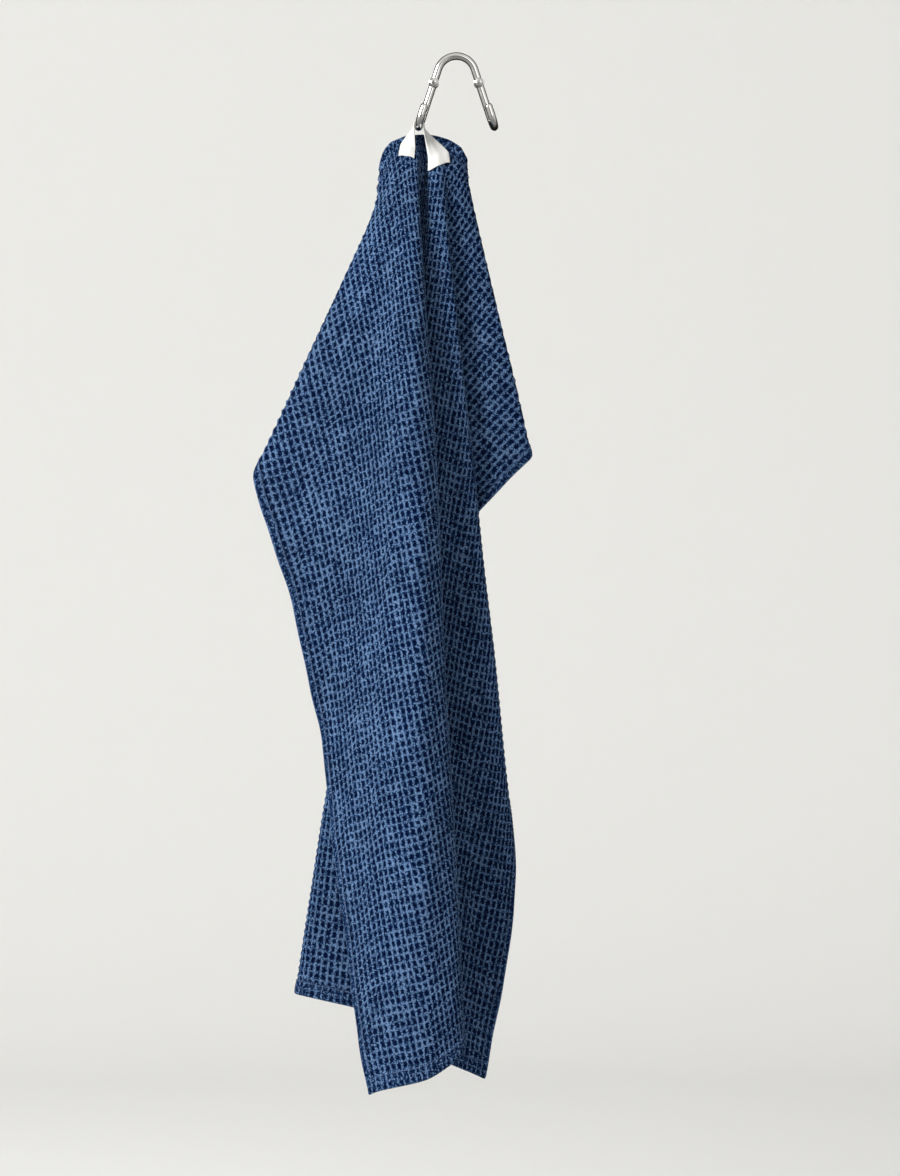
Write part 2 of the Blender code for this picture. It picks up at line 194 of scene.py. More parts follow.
# Soft creases of the panels in front
CREASES = (
    Crease(158.0, 60.0, 34.0, 720.0, 27.0, 5.0),
    Crease(191.0, 60.0, 132.0, 420.0, 9.0, 1.2),
    Crease(180.0, 90.0, 74.0, 420.0, 12.0, -1.0),
    Crease(159.0, 80.0, 27.0, 330.0, 10.0, 0.8),
    Crease(103.0, 470.0, 55.0, 640.0, 14.0, 1.0),
    Crease(295.0, 120.0, 342.0, 420.0, 8.0, 1.0),
    Crease(323.0, 160.0, 406.0, 300.0, 9.0, -0.8),
)


def read_column(rows: tuple, column: str, angles: np.ndarray) -> np.ndarray:
    """Read one column of a table at the given spoke angles."""
    return np.interp(angles, [row.angle for row in rows], [getattr(row, column) for row in rows])


def read_places(rows: tuple, angles: np.ndarray) -> np.ndarray:
    """Read the x, out and z columns of a table as points."""
    return np.stack([read_column(rows, column, angles) for column in ("x", "out", "z")], axis=-1)


def to_world(points: np.ndarray) -> np.ndarray:
    """Turn x, out and z in millimetres into X, Y and Z in metres."""
    return np.stack([points[..., 0], -points[..., 1], points[..., 2]], axis=-1) * MM


def smooth_step(share: np.ndarray) -> np.ndarray:
    """Ease from 0 to 1 with level ends."""
    clipped = np.clip(share, 0.0, 1.0)
    return clipped * clipped * (3.0 - 2.0 * clipped)


@dataclass
class Drape:
    """The hanging folds of the cloth: they carry a flat place s, t and a height to the room."""

    width: float = 450.0
    length: float = 700.0
    gather_half: float = 30.0
    neck_drop: float = 26.0
    neck_softness: float = 9.0
    fold_softness: float = 0.6
    angle_step: float = 0.1
    normal_step: float = 1.5
    edge_wave: float = 0.7
    edge_wave_reach: float = 14.0
    crease_fade: float = 0.3
    halvings: int = 36

    def __post_init__(self) -> None:
        """Read the tables once, at close angles, and round the folds."""
        self.angles = np.arange(-90.0, 90.0 + self.angle_step / 2.0, self.angle_step)
        neck = read_places(NECK, self.angles)
        reach = self.spoke_length(self.angles)[:, None] - self.neck_drop
        below = (read_places(SPOKES, self.angles) - neck) / reach
        above = (neck - read_places(RIM, self.angles)) / self.neck_drop
        self.neck, self.below, self.above = (self.soften(rows) for rows in (neck, below, above))

    def spoke_length(self, angles: np.ndarray) -> np.ndarray:
        """Measure each spoke on the flat cloth, from the top edge to the far edge.

        Args:
            angles: spoke angles in degrees.

        Returns:
            Lengths in millimetres.
        """
        sine = np.sin(np.radians(np.abs(angles)))
        to_side = (self.width / 2.0 - self.gather_half * sine ** 3) / np.maximum(sine, 1e-6)
        to_bottom = self.length / np.maximum(np.cos(np.radians(angles)), 1e-6)
        return np.minimum(to_side, to_bottom)

    def soften(self, rows: np.ndarray) -> np.ndarray:
        """Average rows of points twice over a small window of angles.

        Args:
            rows: one point for each of the close angles.

        Returns:
            The rounded points.
        """
        half = round(self.fold_softness / self.angle_step)
        kernel = np.ones(2 * half + 1) / (2 * half + 1)
        for _ in range(2):
            before = 2.0 * rows[:1] - rows[half:0:-1]
            after = 2.0 * rows[-1:] - rows[-2:-half - 2:-1]
            padded = np.concatenate([before, rows, after])
            rows = np.stack([np.convolve(padded[:, axis], kernel, "valid") for axis in range(3)], axis=-1)
        return rows

    def read(self, rows: np.ndarray, angles: np.ndarray) -> np.ndarray:
        """Read softened rows at the given angles."""
        return np.stack([np.interp(angles, self.angles, rows[:, axis]) for axis in range(3)], axis=-1)

    def on_spoke(self, angles: np.ndarray, reach: np.ndarray) -> np.ndarray:
        """Place points on spokes.

        Args:
            angles: spoke angles in degrees.
            reach: 0 at the rim, 1 at the neck and 2 at the far edge.

        Returns:
            Points x, out, z in millimetres.
        """
        share = np.maximum(reach - 1.0, 0.0)
        past = (self.spoke_length(angles) - self.neck_drop) * share
        past = past + self.neck_drop * np.minimum(reach - 1.0, 0.0)
        rounded = np.sqrt(past ** 2 + self.neck_softness ** 2)
        points = self.read(self.neck, angles)
        points += self.read(self.below, angles) * ((past + rounded) / 2.0)[..., None]
        points += self.read(self.above, angles) * ((past - rounded) / 2.0)[..., None]
        points[..., 1] += read_column(SPOKES, "bow", angles) * 4.0 * share * (1.0 - share)
        return points

    def down_spoke(self, angles: np.ndarray, drop: np.ndarray) -> np.ndarray:
        """Place points on spokes by their distance from the top edge."""
        past = 1.0 + (drop - self.neck_drop) / (self.spoke_length(angles) - self.neck_drop)
        return self.on_spoke(angles, np.where(drop < self.neck_drop, drop / self.neck_drop, past))

    def find_spoke(self, s: np.ndarray, t: np.ndarray) -> tuple[np.ndarray, np.ndarray]:
        """Find the spoke through a flat place, and how far along it the place lies.

        Args:
            s: distance from the left edge.
            t: distance from the top edge.

        Returns:
            The spoke's angle in degrees, and its reach.
        """
        aside = s - self.width / 2.0
        side = np.sign(aside)
        low, high = np.zeros_like(aside), np.full_like(aside, math.pi / 2.0)
        for _ in range(self.halvings):
            turn = (low + high) / 2.0
            begin, end_aside, end_down = self.flat_spoke(turn, side)
            short = begin + (end_aside - begin) * t / end_down < np.abs(aside)
            low, high = np.where(short, turn, low), np.where(short, high, turn)
        begin, end_aside, end_down = self.flat_spoke(turn, side)
        share = np.hypot(t, np.maximum(np.abs(aside) - begin, 0.0)) / np.hypot(end_aside - begin, end_down)
        length = self.spoke_length(np.degrees(turn))
        along = share * length
        past = (along - self.neck_drop) / (length - self.neck_drop)
        return np.degrees(turn) * side, np.where(along < self.neck_drop, along / self.neck_drop, 1.0 + past)

    def flat_spoke(self, turn: np.ndarray, side: np.ndarray) -> tuple[np.ndarray, np.ndarray, np.ndarray]:
        """Give a spoke's ends on the flat cloth.

        Args:
            turn: its angle from straight down, in radians.
            side: -1 to the left and 1 to the right.

        Returns:
            How far aside it begins on the top edge, and how far aside and down it ends.
        """
        begin = np.interp(np.degrees(turn) * side, *zip(*GATHER))
        sine, tangent = np.sin(turn), np.maximum(np.tan(turn), 1e-6)
        inward = self.gather_half * sine ** 3
        end_down = np.minimum(self.length, (self.width / 2.0 - inward) / tangent)
        end_aside = np.minimum(self.width / 2.0, inward + self.length * tangent)
        return begin, end_aside, np.maximum(end_down, 1e-6)

    def bare(self, s: np.ndarray, t: np.ndarray) -> np.ndarray:
        """Place flat points on the middle of the cloth, with its slightly wavy side edges.

        Args:
            s: distances from the left edge.
            t: distances from the top edge.

        Returns:
            Points x, out, z in millimetres.
        """
        side = np.where(s < self.width / 2.0, s, self.width - s)
        wave = np.sin(t / 9.1 + 0.8) * 0.5 + np.sin(t / 23.0 + 2.1) + np.sin(t / 47.0) * 0.8
        moved = s + wave * self.edge_wave * np.exp(-np.abs(side) / self.edge_wave_reach)
        return self.on_spoke(*self.find_spoke(moved, t))

    def unevenness(self, s: np.ndarray, t: np.ndarray) -> np.ndarray:
        """Add up the soft creases and a slow waviness.

        Args:
            s: distances from the left edge.
            t: distances from the top edge.

        Returns:
            Heights above the cloth's middle in millimetres.
        """
        height = 0.35 * np.sin(s / 31.0 + 1.3) * np.sin(t / 53.0 + 0.4) + 0.25 * np.sin(s / 17.0 + t / 41.0)
        height = height * smooth_step((t - 40.0) / 80.0)
        for crease in CREASES:
            start = np.array([crease.from_s, crease.from_t])
            run = np.array([crease.to_s, crease.to_t]) - start
            length = np.linalg.norm(run)
            along = ((s - start[0]) * run[0] + (t - start[1]) * run[1]) / length ** 2
            aside = ((s - start[0]) * run[1] - (t - start[1]) * run[0]) / length
            fade = smooth_step(along / self.crease_fade) * smooth_step((1.0 - along) / self.crease_fade)
            height = height + crease.height * fade * np.exp(-((aside / crease.half_width) ** 2))
        return height

    def lay(self, s: np.ndarray, t: np.ndarray, height: np.ndarray) -> np.ndarray:
        """Carry flat places and heights above the front face to the room.

        Args:
            s: distances from the left edge.
            t: distances from the top edge.
            height: heights above the cloth's middle, towards its front face.

        Returns:
            Points X, Y, Z in metres.
        """
        step = self.normal_step
        along_s = to_world(self.bare(s + step, t) - self.bare(s - step, t))
        along_t = to_world(self.bare(s, t + step) - self.bare(s, np.maximum(t - step, 0.0)))
        normal = np.cross(along_t, along_s)
        normal /= np.maximum(np.linalg.norm(normal, axis=-1, keepdims=True), 1e-12)
        rise = (height + self.unevenness(s, t)) * MM
        return to_world(self.bare(s, t)) + normal * rise[..., None]


class Shader:
    """The node tree of one material, with short calls that add and join its nodes."""

    def __init__(self, name: str) -> None:
        """Make the material, which starts with its surface shader alone.

        Args:
            name: the material's name.
        """
        self.material = bpy.data.materials.new(name)
        self.material.use_nodes = True
        self.tree = self.material.node_tree
        self.surface = self.tree.nodes["Principled BSDF"]

    def node(self, kind: str, inputs: dict | None = None, **settings: object) -> bpy.types.Node:
        """Add a node.

        Args:
            kind: the node's type, without its leading word.
            inputs: values or output sockets, by input name or number.
            settings: properties of the node.

        Returns:
            The new node.
        """
        made = self.tree.nodes.new("ShaderNode" + kind)
        for key, value in settings.items():
            setattr(made, key, value)
        for key, value in (inputs or {}).items():
            self.feed(made.inputs[key], value)
        return made

    def feed(self, socket: bpy.types.NodeSocket, value: object) -> None:
        """Link an output to a socket, or set the socket's own value.

        Args:
            socket: the input that is fed.
            value: an output of another node, or a plain value.
        """
        if isinstance(value, bpy.types.NodeSocket):
            self.tree.links.new(value, socket)
        else:
            socket.default_value = value

    def math(
        self, operation: str, first: object, second: object = 0.0, third: object = 0.0
    ) -> bpy.types.NodeSocket:
        """Add a Math node and return its output."""
        return self.node("Math", {0: first, 1: second, 2: third}, operation=operation).outputs[0]

    def mix(self, share: object, first: object, second: object, blend: str = "MIX") -> bpy.types.NodeSocket:
        """Mix two colours and return the result."""
        made = self.node("Mix", {0: share, 6: first, 7: second}, data_type="RGBA", blend_type=blend)
        return made.outputs[2]

    def noise(self, where: object, scale: float, detail: float = 2.0) -> bpy.types.NodeSocket:
        """Add a noise pattern and return its value."""
        return self.node("TexNoise", {"Vector": where, "Scale": scale, "Detail": detail}).outputs[0]

    def spread(
        self, value: object, low: float, high: float, to_low: float, to_high: float
    ) -> bpy.types.NodeSocket:
        """Map a range of values smoothly to another and return the result."""
        ends = {0: value, 1: low, 2: high, 3: to_low, 4: to_high}
        return self.node("MapRange", ends, interpolation_type="SMOOTHSTEP").outputs[0]

    def offset(self, first: object, second: object, operation: str = "ADD") -> bpy.types.NodeSocket:
        """Add a Vector Math node of two vectors and return its vector."""
        return self.node("VectorMath", {0: first, 1: second}, operation=operation).outputs[0]

    def bump(self, height: object, distance: float, strength: float) -> bpy.types.NodeSocket:
        """Add a bump and return its normal."""
        return self.node("Bump", {"Height": height, "Distance": distance, "Strength": strength}).outputs[0]

    def finish(self, colour: object, normal: object = None, **sockets: object) -> bpy.types.Material:
        """Feed the surface shader.

        Args:
            colour: base colour, a value or an output.
            normal: the normal output, if there is one.
            sockets: other inputs of the surface, with underscores for spaces.

        Returns:
            The finished material.
        """
        self.feed(self.surface.inputs["Base Color"], colour)
        if normal is not None:
            self.feed(self.surface.inputs["Normal"], normal)
        for key, value in sockets.items():
            self.feed(self.surface.inputs[key.replace("_", " ")], value)
        return self.material


def solid(colour: Colour) -> tuple[float, float, float, float]:
    """Add full cover to a colour."""
    return (*colour, 1.0)


@dataclass(frozen=True)
class WaffleCotton:
    """Indigo waffle cotton: pale ridges round deep cells painted near black, partly the yarn's own darker
    tone and partly painted shade in their hollows; pressed shut along the hems.
    """

    # Ridge, slope and pit colours: the fall from the pale ridge to the near-black pit is partly the yarn's
    # own tone and partly painted shade on the cells' walls and in their hollows.
    ridge: Colour = (0.126, 0.212, 0.375)
    slope: Colour = (0.017, 0.050, 0.134)
    pit_dye_and_shade: Colour = (0.0004, 0.0045, 0.0270)
    fuzz: Colour = (0.45, 0.58, 0.85)
    pit_size: tuple[float, float] = (0.55, 0.64)
    wander: float = 0.27
    wander_scale: float = 1.6
    yarns: float = 7.0
    speck: float = 2.5
    speck_scale: float = 820.0
    fluff_scale: float = 1500.0
    tone_scale: float = 24.0
    slope_tones: tuple[float, float] = (0.31, 0.88)
    ridge_tones: tuple[float, float] = (0.66, 1.12)
    blotch: tuple[float, float] = (0.90, 1.08)
    fluff_shade: tuple[float, float] = (0.56, 1.22)
    upright_line: float = 0.34
    level_line: float = 0.20
    yarn_height: float = 0.20
    fluff_height: float = 0.25
    bump_depth: float = 0.0006

    def make(self, name: str, face: Face = Face.FRONT, pressed: bool = False) -> bpy.types.Material:
        """Make the cloth's finish.

        Args:
            name: the material's name.
            face: the face that it is for; the reverse has its cells half a cell along.
            pressed: true for a hem, where the cells are pressed shut.

        Returns:
            The material.
        """
        shader = Shader(name)
        where = shader.node("TexCoord").outputs["Object"]
        fluff = shader.noise(where, self.fluff_scale, 3.0)
        speck = shader.noise(where, self.speck_scale, 2.0)
        tone = shader.noise(where, self.tone_scale, 3.0)
        weave_and_shade, yarns = self.weave(shader, face, pressed)
        weave_and_shade = shader.math("MULTIPLY_ADD", shader.math("SUBTRACT", speck, 0.5), self.speck, weave_and_shade)
        # Painted shade in part: the colour falls from the ridge through the slope to near black in the
        # pits, partly the yarn's own tone and partly the shade inside the cells.
        slope = shader.spread(weave_and_shade, *self.slope_tones, 0.0, 1.0)
        ridge = shader.spread(weave_and_shade, *self.ridge_tones, 0.0, 1.0)
        colour = shader.mix(slope, solid(self.pit_dye_and_shade), solid(self.slope))
        colour = shader.mix(ridge, colour, solid(self.ridge))
        shade = shader.spread(tone, 0.3, 0.7, *self.blotch)
        # Painted shade in part: the fine fluff, like the specks stirred into the weave above, darkens the
        # colour in small random flecks, partly the yarn's uneven tone and partly small shadows among the
        # fibres.
        shade = shader.math("MULTIPLY", shade, shader.spread(fluff, 0.32, 0.68, *self.fluff_shade))
        grey = shader.node("CombineColor", {0: shade, 1: shade, 2: shade}).outputs[0]
        colour = shader.mix(1.0, colour, grey, "MULTIPLY")
        height = shader.math("MULTIPLY_ADD", yarns, self.yarn_height, weave_and_shade)
        height = shader.math("MULTIPLY_ADD", fluff, self.fluff_height, height)
        return shader.finish(
            colour, shader.bump(height, self.bump_depth, 0.8), Roughness=0.95, Specular_IOR_Level=0.03,
            Sheen_Weight=0.02, Sheen_Roughness=0.5, Sheen_Tint=solid(self.fuzz),
        )

    def weave(
        self, shader: Shader, face: Face, pressed: bool
    ) -> tuple[bpy.types.NodeSocket, bpy.types.NodeSocket]:
        """Lay out the cells, each a little out of place and of its own lightness.

        Args:
            shader: the material's nodes.
            face: the face of the cloth.
            pressed: true for a hem.

        Returns:
            The weave's lightness, low in the pits, where it is partly the yarn's tone and partly painted
            shade, and high on the ridges; and the yarns' backs.
        """
        cells = shader.node("UVMap", uv_map="cells").outputs[0]
        drift = shader.node("TexNoise", {"Vector": cells, "Scale": self.wander_scale, "Detail": 2.0})
        drift = shader.offset(drift.outputs[1], (0.5, 0.5, 0.5), "SUBTRACT")
        drift = shader.node("VectorMath", {0: drift, "Scale": self.wander}, operation="SCALE").outputs[0]
        shift = 0.0 if face is Face.FRONT else 0.5
        moved = shader.offset(shader.offset(cells, (shift, shift, 0.0)), drift)
        places = shader.node("SeparateXYZ", {0: moved}).outputs
        from_pit = [self.from_pit(shader, places[axis]) for axis in (0, 1)]
        columns = shader.spread(from_pit[0], 0.50, 1.0, 0.0, 1.0)
        rows = shader.spread(from_pit[1], 0.66, 1.0, 0.0, 1.0)
        aside, down = (
            shader.math("MULTIPLY", share, 1.0 / size) for share, size in zip(from_pit, self.pit_size)
        )
        # Painted shade in part: a dark round core in each cell stands for the yarn's darker tone and for
        # the shade in the cell's hollow.
        round_pit = shader.math("MULTIPLY_ADD", aside, aside, shader.math("MULTIPLY", down, down))
        weave_and_shade = shader.spread(shader.math("SQRT", round_pit), 0.25, 1.45, 0.0, 0.62)
        upright = shader.math("MULTIPLY", columns, self.upright_line)
        level = shader.math("MULTIPLY", rows, self.level_line)
        lines = shader.math("MAXIMUM", upright, level)
        weave_and_shade = shader.math("ADD", weave_and_shade, lines)
        if pressed:
            crush = shader.spread(shader.noise(cells, 2.4, 3.0), 0.36, 0.64, 0.22, 0.56)
            weave_and_shade = shader.math("MULTIPLY_ADD", lines, 0.80, shader.math("MULTIPLY_ADD", weave_and_shade, 0.28, crush))
        else:
            own = shader.node("VectorMath", {0: moved}, operation="FLOOR").outputs[0]
            lot = shader.node("TexWhiteNoise", {"Vector": own}, noise_dimensions="2D").outputs[0]
            weave_and_shade = shader.math("ADD", weave_and_shade, shader.spread(lot, 0.45, 1.0, 0.0, 0.24))
        strands = [self.strands(shader, places[axis], (columns, rows)[axis]) for axis in (0, 1)]
        return weave_and_shade, shader.math("ADD", *strands)

    def from_pit(self, shader: Shader, place: bpy.types.NodeSocket) -> bpy.types.NodeSocket:
        """Give 0 at the middle of a cell and 1 on the ridges beside it, along one direction."""
        half = shader.math("SUBTRACT", shader.math("FRACT", place), 0.5)
        return shader.math("MULTIPLY", shader.math("ABSOLUTE", half), 2.0)

    def strands(
        self, shader: Shader, place: bpy.types.NodeSocket, ridge: bpy.types.NodeSocket
    ) -> bpy.types.NodeSocket:
        """Give the rounded backs of the yarns that float side by side along a ridge."""
        wave = shader.math("COSINE", shader.math("MULTIPLY", place, 2.0 * math.pi * self.yarns))
        return shader.math("MULTIPLY", wave, ridge)


@dataclass(frozen=True)
class SewingThread:
    """Twisted polyester sewing thread."""

    light: Colour
    dark: Colour
    twists: float = 900.0

    def make(self, name: str) -> bpy.types.Material:
        """Make the thread's finish.

        Args:
            name: the material's name.

        Returns:
            The material.
        """
        shader = Shader(name)
        where = shader.node("TexCoord").outputs["Object"]
        twist = shader.noise(where, self.twists, 1.0)
        colour = shader.mix(shader.spread(twist, 0.35, 0.65, 0.0, 1.0), solid(self.dark), solid(self.light))
        normal = shader.bump(twist, 0.0001, 0.6)
        return shader.finish(colour, normal, Roughness=0.6, Sheen_Weight=0.1)


@dataclass(frozen=True)
class CottonTape:
    """Off-white cotton tape of a close twill."""

    light: Colour = (0.800, 0.798, 0.780)
    dark: Colour = (0.590, 0.586, 0.565)
    twill_pitch: float = 0.75
    pick_pitch: float = 0.45

    def make(self, name: str) -> bpy.types.Material:
        """Make the tape's finish; its map is in millimetres across and along the tape.

        Args:
            name: the material's name.

        Returns:
            The material.
        """
        shader = Shader(name)
        run = shader.node("UVMap", uv_map="tape").outputs[0]
        places = shader.node("SeparateXYZ", {0: run})
        where = shader.node("TexCoord").outputs["Object"]
        slant = shader.math("ADD", places.outputs[0], places.outputs[1])
        line, pick = (
            shader.math("SINE", shader.math("MULTIPLY", run_of, 2.0 * math.pi / pitch))
            for run_of, pitch in ((slant, self.twill_pitch), (places.outputs[1], self.pick_pitch))
        )
        cloud = shader.noise(where, 60.0, 3.0)
        weave = shader.math("MULTIPLY_ADD", pick, 0.4, line)
        light = shader.spread(weave, -1.4, 0.6, 0.0, 1.0)
        light = shader.math("MULTIPLY_ADD", shader.spread(cloud, 0.3, 0.7, -0.15, 0.0), 1.0, light)
        colour = shader.mix(shader.math("MAXIMUM", light, 0.35), solid(self.dark), solid(self.light))
        normal = shader.bump(weave, 0.00012, 0.6)
        return shader.finish(colour, normal, Roughness=0.88, Specular_IOR_Level=0.25, Sheen_Weight=0.15)


@dataclass(frozen=True)
class PolishedNickel:
    """Bright nickel plate with a faint haze of handling."""

    plate: Colour = (0.90, 0.885, 0.86)
    haze: Colour = (0.80, 0.785, 0.76)

    def make(self, name: str) -> bpy.types.Material:
        """Make the plated finish.

        Args:
            name: the material's name.

        Returns:
            The material.
        """
        shader = Shader(name)
        where = shader.node("TexCoord").outputs["Object"]
        smear = shader.noise(where, 140.0, 4.0)
        fine = shader.noise(where, 2200.0, 2.0)
        colour = shader.mix(shader.spread(smear, 0.4, 0.7, 0.0, 0.6), solid(self.plate), solid(self.haze))
        rough = shader.spread(smear, 0.3, 0.75, 0.07, 0.17)
        normal = shader.bump(fine, 0.00002, 0.25)
        return shader.finish(colour, normal, Metallic=1.0, Roughness=rough)


@dataclass(frozen=True)
class StudioPaint:
    """Matt pale paint of the studio's floor and backdrop."""

    paint: Colour = (0.755, 0.755, 0.742)

    def make(self, name: str) -> bpy.types.Material:
        """Make the paint."""
        shader = Shader(name)
        return shader.finish(solid(self.paint), None, Roughness=0.95, Specular_IOR_Level=0.1)


def add_object(name: str, data: bpy.types.ID) -> bpy.types.Object:
    """Add an object with the given mesh, light or camera to the scene.

    Args:
        name: the object's name.
        data: what it holds.

    Returns:
        The new object.
    """
    added = bpy.data.objects.new(name, data)
    bpy.context.scene.collection.objects.link(added)
    return added


def new_object(name: str, shape: bmesh.types.BMesh) -> bpy.types.Object:
    """Turn a bmesh into a smooth-shaded object of the scene.

    Args:
        name: the object's name.
        shape: the bmesh, which is freed.

    Returns:
        The new object.
    """
    mesh = bpy.data.meshes.new(name)
    shape.to_mesh(mesh)
    shape.free()
    mesh.shade_smooth()
    return add_object(name, mesh)


def lathe(outline: list[Spot], centre: Spot, axis: Spot, steps: int, weld: float) -> bmesh.types.BMesh:
    """Spin an outline once round an axis and weld its seam.

    Args:
        outline: its points in order.
        centre: a point of the axis.
        axis: its direction.
        steps: the number of steps.
        weld: distance below which points are merged.

    Returns:
        The new bmesh.
    """
    shape = bmesh.new()
    verts = [shape.verts.new(point) for point in outline]
    edges = [shape.edges.new(pair) for pair in zip(verts, verts[1:])]
    bmesh.ops.spin(
        shape, geom=verts + edges, cent=centre, axis=axis, dvec=(0.0, 0.0, 0.0), angle=2.0 * math.pi,
        steps=steps, use_merge=True, use_normal_flip=False, use_duplicate=False,
    )
    bmesh.ops.remove_doubles(shape, verts=shape.verts, dist=weld)
    return shape


def thicken(piece: bpy.types.Object, thickness: float) -> bpy.types.Modifier:
    """Give a sheet its thickness.

    Args:
        piece: the sheet.
        thickness: millimetres, half of them to each side.

    Returns:
        The modifier that does it.
    """
    shell = piece.modifiers.new("Thickness", "SOLIDIFY")
    shell.thickness = thickness * MM
    shell.offset = 0.0
    return shell


def grid_piece(
    name: str,
    across: int,
    along: int,
    place: Callable[[np.ndarray, np.ndarray], np.ndarray],
    chart: Callable[[np.ndarray, np.ndarray], np.ndarray],
    chart_name: str,
    weld: float = 0.0,
) -> bpy.types.Object:
    """Make a piece from a flat grid that is laid into place.

    Args:
        name: the piece's name.
        across: faces across the grid.
        along: faces along the grid.
        place: gives points in metres for column and row numbers.
        chart: gives the map's two values for column and row numbers.
        chart_name: the map's name.
        weld: distance in millimetres below which points are merged.

    Returns:
        The new object.
    """
    shape = bmesh.new()
    bmesh.ops.create_grid(shape, x_segments=across, y_segments=along, size=1.0)
    piece = new_object(name, shape)
    mesh = piece.data
    flat = np.empty(len(mesh.vertices) * 3, np.float32)
    mesh.vertices.foreach_get("co", flat)
    flat = flat.reshape(-1, 3).astype(float)
    columns, rows = (np.rint((flat[:, axis] + 1.0) / 2.0 * (across, along)[axis]) for axis in (0, 1))
    mesh.vertices.foreach_set("co", place(columns, rows).astype(np.float32).ravel())
    corners = np.empty(len(mesh.loops), np.int32)
    mesh.loops.foreach_get("vertex_index", corners)
    values = chart(columns, rows)[corners]
    mesh.uv_layers.new(name=chart_name).data.foreach_set("uv", values.astype(np.float32).ravel())
    if weld:
        shape = bmesh.new()
        shape.from_mesh(mesh)
        bmesh.ops.remove_doubles(shape, verts=shape.verts, dist=weld * MM)
        bmesh.ops.recalc_face_normals(shape, faces=shape.faces)
        shape.to_mesh(mesh)
        shape.free()
        mesh.shade_smooth()
    mesh.update()
    return piece


def register(piece: bpy.types.Object, slot: str, *nodes: str) -> bpy.types.Object:
    """Let a piece ride on the part and stand for solids.

    Args:
        piece: the finished piece.
        slot: its finish slot; it is not used.
        nodes: the solids that it replaces, if any.

    Returns:
        The piece.
    """
    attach(piece, BODY)
    if nodes:
        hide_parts(*nodes)
    log.info("%s: %d faces", piece.name, len(piece.data.polygons))
    return piece


